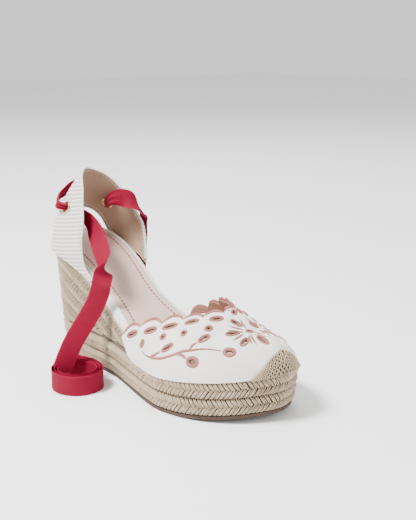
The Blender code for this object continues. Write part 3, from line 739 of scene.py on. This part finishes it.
class Surface:
    """Finds the nearest point of the canvas, and the way out of it, for what is sewn on."""

    def __init__(self, points, faces):
        self.points, self.faces = points, faces
        self.tree = BVHTree.FromPolygons([tuple(p) for p in points], faces)
        self.normals = normals_of(points, faces)

    def drop(self, points):
        place, out = [], []
        for point in points:
            spot, _, face, _ = self.tree.find_nearest(Vector(point))
            ring = self.faces[face]
            away = np.linalg.norm(self.points[ring] - np.array(spot), axis=1) + 1e-6
            place.append(spot)
            out.append(unit((self.normals[ring] / away[:, None]).sum(axis=0)))
        return np.array(place), np.array(out)


def sewn(side, line):
    """Points of the shoe along a line of (cross-section in mm, height round it)."""
    u, v = np.array(line).T
    return shaped(on_vamp(side, u * MM, v))


def cord_on(surface, points, half_width, height, closed=False, stitch=0.55 * MM, lift=0.0):
    """Raised satin stitching along a line on the canvas, one ridge to a stitch."""
    total = lengths(np.vstack([points, points[:1]]) if closed else points)[-1]
    count = max(8, int(total / stitch) * 2)
    path = through(points, count, closed)
    place, out = surface.drop(path)
    angle = np.linspace(0, 2 * math.pi, 8, endpoint=False)[:, None]
    sections = []
    for k in range(count):
        ahead, behind = ((k + 1) % count, k - 1) if closed else (min(k + 1, count - 1), max(k - 1, 0))
        side = unit(np.cross(path[ahead] - path[behind], out[k]))
        swell = 1.06 if k % 2 else 0.92
        if not closed:
            swell *= 0.35 + 0.65 * min(1, 3 * k / count, 3 * (count - 1 - k) / count)
        sections.append(place[k] + side * half_width * swell * np.cos(angle)
                        + out[k] * (lift + height * (0.1 + swell * np.sin(angle))))
    return swept(sections, closed)


def canvas_grid(side):
    """One side of the canvas: rows from its foot up to the scallops or, in front of them, to the ridge."""
    top = scallops(side, 26)
    rising, columns, in_front = len(top), 100, 72
    ridge_u = np.linspace(top[-1, 0], TOE, in_front)[1:]
    top = np.vstack([top, np.column_stack([ridge_u, np.ones(in_front - 1)])])
    foot = np.concatenate([np.linspace(WING_FOOT, TONGUE_FOOT, rising),
                           np.linspace(TONGUE_FOOT, TOE, in_front)[1:]])
    t = np.linspace(0, 1, columns)
    # rows to the throat bend rearward near the top, so that they don't cross under the tongue
    power = 1 + 2.4 * np.concatenate([np.linspace(0, 1, rising) ** 2, np.linspace(1, 0, in_front)[1:] ** 0.5])
    u = foot[:, None] + (top[:, :1] - foot[:, None]) * t ** power[:, None]
    v = top[:, 1:] * t
    # the first rows ease from the wing's curved rear edge
    rear = rear_edge(side, columns)
    ease = np.exp(-np.arange(len(top)) / 10.0)[:, None]
    u = u + ease * (rear[:, 0] - u[0])
    v = v + ease * (rear[:, 1] - v[0])
    grid = on_vamp(side, u, v)
    flat = np.stack([lengths(grid[:, columns // 2])[:, None] + 0 * u, v * ROUND], axis=-1)
    return shaped(grid), flat, side == "lateral"


def cut_hole(points, normals, inside, skin, side, a, b, width, border):
    """Moves points near a hole's edge onto it, marks those inside it, and returns its border's line."""
    a, b = (on_vamp(side, u * MM, v) for u, v in (a, b))
    (spot,), (out,) = skin.drop([shaped((a + b) / 2)])
    first = (b - a) - out * ((b - a) @ out)
    radii = np.array([np.linalg.norm(first) / 2 + 0.25 * MM, width * MM / 2])
    first = unit(first)
    second = np.cross(out, first)
    offset = points + normals * OVER_VAMP - spot
    x, y = offset @ first, offset @ second
    near = np.abs(offset @ out) < 4 * MM
    value = np.sqrt((x / radii[0]) ** 2 + (y / radii[1]) ** 2)
    moved = near & (np.abs(value - 1) * radii.min() < 0.34 * MM)
    back = (1 - 1 / np.maximum(value, 0.1))[moved, None]
    points[moved] -= back * (x[moved, None] * first + y[moved, None] * second)
    inside |= near & (value < 1) & ~moved
    angle = np.linspace(0, 2 * math.pi, 40, endpoint=False)
    reach = radii + border * MM / 2 * 0.8
    return spot + np.outer(np.cos(angle) * reach[0], first) + np.outer(np.sin(angle) * reach[1], second)


def vamp(canvas, lining, pink):
    points, faces, uv = merged(*(canvas_grid(side) for side in SIDES))
    faces, normals = outer_side(points, faces, (180 * MM, 0, BASE_TOP))
    skin = Surface(points + normals * OVER_VAMP, faces)
    holes = [(side, *hole) for side in SIDES for hole in HOLES] + [(*petal, PETAL_BORDER) for petal in PETALS]
    inside = np.zeros(len(points), bool)
    rings = [(cut_hole(points, normals, inside, skin, *hole), hole[-1] * MM / 2) for hole in holes]
    kept = [f for f in faces if not inside[f].any()]
    ripple = (np.sin(uv[:, 0] / MM * 0.21 + 1.3) * np.sin(uv[:, 1] / MM * 0.17)) * 0.12 * MM
    shell = thick(points, kept, normals, 0.35 * MM, OVER_VAMP + ripple, uv)
    piece("vamp_canvas", shell, canvas, bend=False, replaces=["vamp"])
    shell = thick(points, kept, normals, -1.1 * MM, -0.15 * MM, uv)
    piece("vamp_backing", shell, lining, bend=False, replaces=["vamp_lining"])

    parts = [cord_on(skin, ring, half, 0.62 * MM, closed=True) for ring, half in rings]
    edges = []
    per = 24
    for side in SIDES:
        parts += [cord_on(skin, sewn(side, vine), 1.0 * MM, 0.65 * MM) for vine in VINES]
        line = sewn(side, scallops(side, per) / (MM, 1))
        for first in range(0, len(line) - 1, per):
            edges.append(cord_on(skin, line[first : first + per + 1], 1.45 * MM, 1.15 * MM, lift=-0.5 * MM))
        parts += [cord_on(skin, sewn(side, np.linspace(a, b, 5)), 0.75 * MM, 0.5 * MM) for a, b in RAYS]
    inner = Surface(skin.points - skin.normals * 2.25 * MM, [f[::-1] for f in faces])
    parts += [cord_on(inner, ring, half * 0.9, 0.4 * MM, closed=True) for ring, half in rings]
    piece("vamp_embroidery", joined(*parts), pink, bend=False)
    piece("vamp_scallop_stitching", joined(*edges), pink, bend=False)


# The toe cap's upper edge: (cross-section, height round it)
CAP_EDGE = np.array([
    (228.6, 0.0), (231.2, 0.081), (233.7, 0.168), (236.5, 0.289), (240.0, 0.395), (243.5, 0.47),
])


def across_toe(edge, fraction):
    """A line over the toe at a fraction of the cap's height, from the lateral side to the medial side."""
    lateral, medial = (shaped(on_vamp(side, edge[:, 0], edge[:, 1] * fraction)) for side in SIDES)
    return np.vstack([lateral, medial[-2::-1]])


def toe_cap(yarn, painted_shade_core):
    """Openwork crochet over the toe: rows of slanted loops over a backing coloured near black as painted
    shadow.
    """
    edge = through(CAP_EDGE * (1, 60), 60) * (MM, 1 / 60)
    v = edge[:, 1:] * np.linspace(0, 1, 30)
    u = edge[:, :1] + 0 * v
    flat = np.stack([u, v * ROUND], axis=-1)
    points, faces, uv = merged(*((shaped(on_vamp(side, u, v)), flat, side == "lateral") for side in SIDES))
    faces, normals = outer_side(points, faces, (200 * MM, 0, BASE_TOP))
    shell = thick(points, faces, normals, 1.2 * MM, 1.75 * MM, uv)
    # painted shadow: the backing is near black, for the shade seen through the openwork
    piece("toe_cap_shadow_backing", shell, painted_shade_core, bend=False, replaces=["toe_cap"])

    skin = Surface(points + normals * 1.85 * MM, faces)
    rows, spacing, tallest = 8, 2.9 * MM, 3.2 * MM
    t = np.linspace(-0.62, 0.62, 7)
    hump = np.sin(np.linspace(0, math.pi, 7))[:, None] * 0.8 * MM
    lines, outs = [], []
    for row in range(rows):
        low, high = (across_toe(edge, (row + k) / rows) for k in (0.5, 1.5))
        run = lengths(low)
        count = max(4, int(run[-1] / spacing))
        for k in range(count):
            at = (k + 0.5 + 0.5 * (row % 2)) / (count + 0.5) * run[-1]
            here = sample(low, run, at)
            ahead = sample(low, run, at + MM) - here
            if np.linalg.norm(ahead) < MM / 1000:
                continue
            up = sample(high, run, at) - here
            up *= min(1, tallest / np.linalg.norm(up))
            for lean in (-1, 1):
                slant = lean * (0.25 + 0.85 * (t + 0.62)) * MM
                place, out = skin.drop(here + np.outer(t, up) + np.outer(slant, unit(ahead)))
                lines.append(place + out * hump)
                outs.append(out)
    width = RANDOM.uniform(0.42, 0.54, len(lines)) * MM
    loops = strands(np.array(lines), np.array(outs), width, width * 0.95, around=7, taper=0.5)
    piece("toe_cap_crochet", loops, yarn, bend=False)

    trims = []
    for side in SIDES:
        line = shaped(on_vamp(side, edge[:, 0], edge[:, 1]))
        trims.append(cord_on(skin, line, 0.55 * MM, 0.5 * MM, stitch=1.1 * MM))
    piece("toe_cap_edge", joined(*trims), yarn, bend=False)


# ---------------------------------------------------------------- the heel counter

# The counter's ribs, from its front tip to the middle of the back, for the lateral side (-1) and the medial
# one (1): the low end (s, distance from the middle, z), the high end, and how far the rib bows out
RIBS = {
    -1: np.array([
        (80, 32.5, 66, 79.5, 32.5, 69.5, 0), (70, 32, 70.5, 70, 33.3, 79, 0.4),
        (58, 31.5, 74, 64.5, 31.5, 93, 2.0), (45, 31.5, 77.5, 61.5, 28.5, 103.5, 3.2),
        (32, 31, 80, 58, 25, 112, 4.0), (18, 28, 82, 52.5, 21.3, 122, 4.6),
        (12, 24, 88, 47.5, 17.6, 131.5, 4.8), (13, 19.3, 102, 41, 13.6, 138.5, 4.4),
        (14, 11.5, 110, 34.5, 9, 143, 3.6), (14, 0, 113, 28, 0, 146, 3.0),
    ]) * MM,
    1: np.array([
        (66, 28.4, 71.5, 66, 27.6, 74.5, 0), (61, 29.6, 73.5, 65.2, 28.7, 82, 0.4),
        (53, 30.6, 76, 62.5, 29.8, 93.5, 1.6), (43, 31.3, 78, 60.8, 28.6, 103.5, 2.8),
        (33, 31.2, 80.5, 58, 25, 112, 3.8), (24.5, 30.2, 82.5, 52.5, 21.3, 122, 4.6),
        (17.5, 27.2, 89, 47.5, 17.6, 131.5, 4.8), (16, 20.5, 102, 41, 13.6, 138.5, 4.4),
        (14.5, 11.8, 110, 34.5, 9, 143, 3.6), (14, 0, 113, 28, 0, 146, 3.0),
    ]) * MM,
}
BACK_RIB = 9
COUNTER_MIDDLE = np.array([45 * MM, 0])
EYELET_AT = {-1: (5.9, 0.70), 1: (6.75, 0.48)}
EYELET_HOLE = 3.3 * MM
WEAVE_U, WEAVE_V = 2.3 * MM, 3.0 * MM
# Closed profiles of the brass, as (radius, height above the cloth) in mm
BARREL = [(3.3, -3.8), (3.6, -3.9), (3.7, -3.6), (3.68, 0), (3.72, 1.5), (4.3, 1.75), (4.9, 1.55), (5.1, 1.8),
          (4.8, 2.2), (4.2, 2.35), (3.6, 2.15), (3.32, 1.6)]
WASHER = [(4.05, -2.65), (4.0, -3.15), (4.8, -3.9), (5.1, -3.8), (5.0, -3.4), (4.6, -3.0)]


def counter_at(rib, height, side):
    """Points of the counter's surface, at a rib's number and a height from its low end (0) to its high."""
    rib, height, side = np.broadcast_arrays(np.asarray(rib, float), height, side)
    tables = []
    for own in (-1, 1):
        mirror = RIBS[-own] * np.array([1, -1, 1, 1, -1, 1, 1])
        tables.append(np.vstack([2 * RIBS[own][0] - RIBS[own][1], RIBS[own], mirror[-2], mirror[-3]]))
    rows, half = np.array(tables), (side > 0).astype(int)
    k = np.clip(rib.astype(int), 0, BACK_RIB - 1)
    t = (rib - k)[..., None]
    before, a, b, c = (rows[half, k + j] for j in range(4))
    row = 0.5 * (2 * a + (b - before) * t + (2 * before - 5 * a + 4 * b - c) * t**2
                 + (3 * a - before - 3 * b + c) * t**3)
    point = row[..., :3] + (row[..., 3:6] - row[..., :3]) * height[..., None]
    bow = row[..., 6] * 4 * height * (1 - height)
    point[..., :2] += unit(point[..., :2] - COUNTER_MIDDLE) * bow[..., None]
    return point * np.stack([np.ones(side.shape), side, np.ones(side.shape)], axis=-1)


def round_counter(count, height):
    """Points from the lateral front tip round the back to the medial one, at given heights."""
    rib = np.linspace(0, BACK_RIB, count)
    rib = np.concatenate([rib, rib[-2::-1]])
    side = np.where(np.arange(len(rib)) < count, -1.0, 1.0)
    return counter_at(rib[:, None], np.array([height], float), side[:, None])


def counter_frame(side):
    """An eyelet's middle and its axis, which points out of the shoe."""
    rib, height = EYELET_AT[side]
    centre = counter_at(rib, height, side)
    along = counter_at(rib + 0.3, height, side) - counter_at(rib - 0.3, height, side)
    up = counter_at(rib, height + 0.05, side) - counter_at(rib, height - 0.05, side)
    normal = unit(np.cross(along, up))
    return centre, normal if normal[:2] @ (centre[:2] - COUNTER_MIDDLE) > 0 else -normal


def turned(centre, axis, profile):
    """A ring turned round an axis from a closed profile in mm, which is rounded off."""
    first = unit(np.cross(axis, (0, 0, 1.0)))
    second = np.cross(axis, first)
    profile = through(np.array(profile) * MM, len(profile) * 4, closed=True)
    sections = []
    for angle in np.linspace(0, 2 * math.pi, 56, endpoint=False):
        ray = first * math.cos(angle) + second * math.sin(angle)
        sections.append(centre + np.outer(profile[:, 0], ray) + np.outer(profile[:, 1], axis))
    return swept(sections, closed=True)


def piping(line, radius):
    """A round cord along an edge of the counter."""
    path = through(line, 400)
    tangent = unit(np.gradient(path, axis=0))
    side = unit(np.cross(tangent, path - np.array([*COUNTER_MIDDLE, 90 * MM])))
    up = np.cross(side, tangent)
    angle = np.linspace(0, 2 * math.pi, 8, endpoint=False)[None, :, None]
    return swept(path[:, None] + (np.cos(angle) * side[:, None] + np.sin(angle) * up[:, None]) * radius)


def heel_counter(cloth, lining, trim, thread, brass):
    grid = round_counter(230, np.linspace(0, 1, 96))
    run = lengths(grid[:, grid.shape[1] // 2])
    up = grid[..., 2] - 0.17 * grid[..., 0]
    points, faces, uv = merged((grid, np.dstack([np.broadcast_to(run[:, None], up.shape), up]), False))
    faces, normals = outer_side(points, faces, (*COUNTER_MIDDLE, 100 * MM))
    inside = np.zeros(len(points), bool)
    radius = EYELET_HOLE + 0.8 * MM
    for side in (-1, 1):
        centre, axis = counter_frame(side)
        offset = points - centre
        near = np.linalg.norm(offset, axis=1) < 12 * MM
        offset -= np.outer(offset @ axis, axis)
        reach = np.linalg.norm(offset, axis=1)
        snap = near & (np.abs(reach - radius) < 0.45 * MM)
        points[snap] += offset[snap] * (radius / reach[snap] - 1)[:, None]
        inside |= near & (reach < radius) & ~snap
    kept = [f for f in faces if not inside[f].any()]
    # the cloth's floats stand out in rows, between the dashes that woven_look draws
    row, number = np.modf(uv[:, 1] / WEAVE_V)
    phase = uv[:, 0] / WEAVE_U + 0.5 * number
    floats = np.abs(np.sin(math.pi * phase)) ** 0.5 * np.sin(math.pi * np.clip((row - 0.5) / 0.5, 0, 1))
    shell = thick(points, kept, normals, 0.1 * MM, (0.95 + 0.25 * floats) * MM, uv)
    piece("counter_woven_cloth", shell, cloth, bend=False, replaces=["heel_counter"])
    shell = thick(points, kept, normals, -1.35 * MM, -0.6 * MM, uv)
    piece("counter_leather_lining", shell, lining, bend=False, replaces=["counter_lining"])

    edges = round_counter(90, [0, 1])
    trims = joined(piping(edges[:, 1], 0.85 * MM), piping(edges[:, 0], 0.8 * MM))
    piece("counter_edge_piping", trims, trim, bend=False)

    # a line of stitches inside the edge of the lining, all round, and along the top of the cloth
    rows = []
    for start, end, side in ((0.3, BACK_RIB, -1), (BACK_RIB, 0.3, 1)):
        for level in (0.93, 0.07):
            curve = counter_at(np.linspace(start, end, 160), level, side)
            out = unit((curve - np.array([*COUNTER_MIDDLE, 0])) * (1, 1, 0))
            rows.append(stitches(curve - out * 1.42 * MM, -out, 2.2 * MM, 0.9 * MM, 0.55 * MM, 0.35 * MM))
            if level > 0.5:
                rows.append(stitches(curve + out * 1.25 * MM, out, 2.2 * MM, 0.9 * MM, 0.5 * MM, 0.3 * MM))
    piece("counter_topstitching", joined(*rows), thread, bend=False)

    for side, word in zip((-1, 1), SIDES):
        for name, profile, node in (("eyelet", BARREL, "eyelet"), ("washer", WASHER, "eyelet_washer")):
            ring = turned(*counter_frame(side), profile)
            piece(f"brass_{name}_{word}", ring, brass, bend=False, replaces=[f"{node}_{word}"])


# ---------------------------------------------------------------- the ribbon

# In mm, as the route's stations are
ROLL_LATERAL = (102.0, -63.6)
ROLL_MEDIAL = (45.0, 60.0)
RIBBON = 14.5
THICKNESS = 0.62


def spiral(centre, start, turns, r_from, r_to, spin, count, flare=0.0):
    """Stations of a coil of ribbon on edge, in mm: (s, y, z, across, width, thickness)."""
    t = np.linspace(0, 1, count)
    angle = math.radians(start) + spin * turns * 2 * math.pi * t
    radius = r_from + (r_to - r_from) * t + flare * np.clip((t - 0.93) / 0.07, 0, 1) ** 1.6
    radius = radius + 0.25 * np.sin(angle * 2 + 0.6)
    z = 7.6 + 0.12 * np.sin(angle * 1.3)
    ones = np.ones(count)
    s = centre[0] + radius * np.cos(angle) * 1.03
    y = centre[1] + radius * np.sin(angle) * 0.98
    return np.column_stack([s, y, z, 0 * t, 0 * t, -ones, RIBBON * ones, THICKNESS * ones])


def station(s, y, z, across, width=RIBBON, thickness=THICKNESS):
    """A point of the ribbon's route in mm, with the direction from one selvedge to the other."""
    return np.array([s, y, z, *across, width, thickness])


def through_eyelet(side, round_back):
    """Stations through an eyelet, gathered, and on towards the middle of the back."""
    centre, axis = counter_frame(side)
    stations = [station(*((centre + axis * h * MM) / MM), (0, 0, -1), width, 1.6)
                for h, width in ((-7.0, 6.0), (-3.4, 4.5), (0.0, 4.3), (3.4, 4.5))]
    for rib, height, width, stand in round_back:
        point = counter_at(rib, height, float(side))
        point[:2] += unit(point[:2] - COUNTER_MIDDLE) * stand * MM
        stations.append(station(*(point / MM), (-0.35, 0, -0.93), width, 0.8))
    return stations


def ribbon_route():
    """Lateral coil, lateral eyelet, round the back, medial eyelet, medial coil."""
    hanging = (0.62, 0.70, -0.33)
    lateral = [
        station(89.6, -68.8, 9.8, (0.14, 0.16, -0.95)), station(89.6, -65.8, 15.0, (0.42, 0.48, -0.72)),
        station(90, -62.5, 22.0, (0.56, 0.64, -0.50)), station(91, -58, 30.5, hanging),
        station(93, -53, 39, hanging), station(96.5, -45, 52.5, hanging), station(98.5, -39.8, 64, hanging),
        station(99.5, -38, 73, (0.60, 0.40, -0.69)), station(97, -33.5, 82.5, (0.25, -0.20, -0.95)),
        station(89, -28.5, 89, (-0.20, -0.60, -0.77)), station(76.6, -23, 95.3, (-0.30, -0.65, -0.69)),
        station(63, -17.5, 102, (-0.15, -0.50, -0.85)), station(51, -15.0, 109, (0.1, -0.2, -0.97), 11),
    ]
    medial = [
        station(38.5, 13, 119.5, (0.2, -0.1, -0.97), 9), station(46, 14, 122.5, (0.3, 0, -0.95), 12),
        station(54, 18, 122.5, (0.45, 0.1, -0.87)), station(60, 23.5, 117.5, (0.7, -0.1, -0.6), 12.5),
        station(61.5, 28.6, 111.5, (0.9, -0.35, -0.25), 10),
        station(57.2, 33.6, 106.5, (0.92, -0.2, 0.35), 10),
        station(50, 36.8, 94, (0.88, 0, 0.5), 13), station(45.5, 38.8, 80, (0.96, 0, 0.3)),
        station(44.5, 39.3, 65, (1, 0, 0.1)), station(44.5, 38.8, 50, (1, 0, 0)),
        station(45, 37.7, 32, (1, 0, 0)), station(45, 37.4, 20, (0.95, 0, -0.3)),
        station(43.5, 38.6, 11.5, (0.55, 0, -0.83)),
    ]
    middle = [(8.0, 0.50, 10.5, 5.2), (8.5, 0.50, 13.0, 4.2)]
    into_lateral = through_eyelet(-1, [(6.45, 0.63, 7.0, 6.5), (7.2, 0.55, 9.0, 6.0)] + middle)
    out_of_medial = through_eyelet(1, [(7.35, 0.50, 7.0, 6.2)] + middle)[::-1]
    rear = counter_at(BACK_RIB, 0.50, 1.0) / MM - (3.4, 0, 0)
    return np.array([
        *spiral(ROLL_LATERAL, 216, 2.82, 13.2, 19.4, 1, 74, flare=7.0)[::-1], *lateral, *into_lateral,
        station(*rear, (-0.39, 0, -0.92), 14.0), *out_of_medial, *medial,
        *spiral(ROLL_MEDIAL, -104, 2.7, 19.6, 13.4, -1, 70),
    ])


def ribbon(look):
    """One flat strip along the whole route, gathered into pleats where it is drawn through an eyelet."""
    path = through(ribbon_route(), 1500)
    centres, across, width, thickness = path[:, :3], path[:, 3:6], path[:, 6:7], path[:, 7:8]
    tangents = unit(np.gradient(centres, axis=0))
    across = unit(across - tangents * (across * tangents).sum(axis=1)[:, None])[:, None]
    normal = np.cross(tangents, across[:, 0])[:, None]
    run = lengths(centres)
    x = np.linspace(-1, 1, 15)
    narrow = 1 - width / RIBBON
    pleat = narrow * 1.5 * np.sin(x * 2.5 * math.pi) + 0.22 * x**2
    deep = thickness / 2 * (1 - 0.35 * np.abs(x) ** 8) * (1 - 0.45 * narrow)
    face = centres[:, None] + across * (x * width / 2)[..., None]
    top = face + normal * (pleat + deep)[..., None]
    low = face + normal * (pleat - deep)[..., None]
    points, faces, _ = swept(np.concatenate([top, low[:, ::-1]], axis=1) * MM)
    over = (np.concatenate([x, x[::-1]]) + 1) / 2 * RIBBON * MM
    uv = np.stack(np.broadcast_arrays((run * MM)[:, None], over[None]), axis=-1)
    tie = piece("ribbon_tie", (points, faces, uv), look, bend=False,
                replaces=["ribbon", "ribbon_roll_lateral", "ribbon_roll_medial"])


# ---------------------------------------------------------------- the shoe and the studio

pink = thread_look("rose_thread", (0.39, 0.135, 0.105), (0.25, 0.075, 0.055), sheen=0.0)
canvas = canvas_look()
tan = leather_look("tan_lining", (0.36, 0.20, 0.14), (0.26, 0.135, 0.09), 0.7)
jute()
sock(leather_look("nude_leather", (0.62, 0.45, 0.38), (0.53, 0.37, 0.30), 0.65),
     thread_look("brown_pink_thread", (0.30, 0.145, 0.115), (0.20, 0.09, 0.07), sheen=0.0))
binding(canvas, thread_look("tan_thread", (0.56, 0.40, 0.28), (0.44, 0.29, 0.19)))
vamp(canvas, tan, pink)
toe_cap(jute_look("crochet_yarn", (0.49, 0.385, 0.255), (0.38, 0.29, 0.18), 0.8),
        plain_look("crochet_shadow", (0.10, 0.07, 0.04), (0.055, 0.036, 0.02), 0.95))
heel_counter(woven_look(),
             leather_look("counter_lining_leather", (0.40, 0.265, 0.185), (0.31, 0.195, 0.13), 0.7),
             canvas, thread_look("cream_thread", (0.80, 0.74, 0.66), (0.66, 0.58, 0.49)),
             plain_look("brass", (0.83, 0.62, 0.30), (0.70, 0.50, 0.22), 0.25, 400, 1.0, 0.02))
ribbon(ribbon_look())

SOLID = {
    "outsole": plain_look("brown_rubber", (0.085, 0.052, 0.035), (0.05, 0.03, 0.021), 0.8, 400),
    "wedge_core": plain_look("cork_core", (0.55, 0.40, 0.25), (0.40, 0.27, 0.16), 0.9, 300),
    "insole_board": plain_look("fibre_board", (0.45, 0.33, 0.22), (0.36, 0.26, 0.17), 0.9, 300),
    "footbed_padding": plain_look("foam_padding", (0.80, 0.74, 0.60), (0.72, 0.66, 0.52), 0.95, 500),
}
for name, material in SOLID.items():
    obj = bpy.data.objects[name]
    for slot in obj.material_slots:
        slot.link = "OBJECT"
        slot.material = material

floor_look = plain_look("studio_floor", (0.93, 0.93, 0.93), (0.915, 0.915, 0.915), 0.8, 3, depth=0.0)
bpy.ops.mesh.primitive_plane_add(size=8, location=(0, 0, -0.0002))
floor = bpy.context.object
floor.name = "studio_floor"
floor.data.materials.append(floor_look)

world = bpy.data.worlds.new("studio")
bpy.context.scene.world = world
world.use_nodes = True
background = world.node_tree.nodes["Background"]
background.inputs["Color"].default_value = (1.0, 1.0, 1.0, 1)
background.inputs["Strength"].default_value = 1.05


def softbox(name, place, target, size, power):
    data = bpy.data.lights.new(name, "AREA")
    data.shape, data.size, data.energy = "DISK", size, power
    obj = bpy.data.objects.new(name, data)
    obj.location = place
    obj.rotation_euler = (Vector(target) - Vector(place)).to_track_quat("-Z", "Y").to_euler()
    bpy.context.collection.objects.link(obj)


softbox("key", (-0.15, -0.75, 1.25), (0, 0, 0.05), 0.45, 60)
softbox("fill", (1.5, 0.5, 0.8), (0, 0, 0.05), 1.0, 10)
softbox("rim", (-1.0, 0.9, 1.3), (0, 0, 0.05), 0.8, 16)

lens = bpy.data.cameras.new("camera")
lens.lens, lens.sensor_width, lens.sensor_fit = 78.4, 36, "HORIZONTAL"
camera = bpy.data.objects.new("camera", lens)
camera.location = (0.5048, -0.3977, 0.2479)
camera.rotation_mode = "QUATERNION"
camera.rotation_quaternion = Vector((-0.7297, 0.6398, -0.2411)).to_track_quat("-Z", "Y")
bpy.context.collection.objects.link(camera)
bpy.context.scene.camera = camera
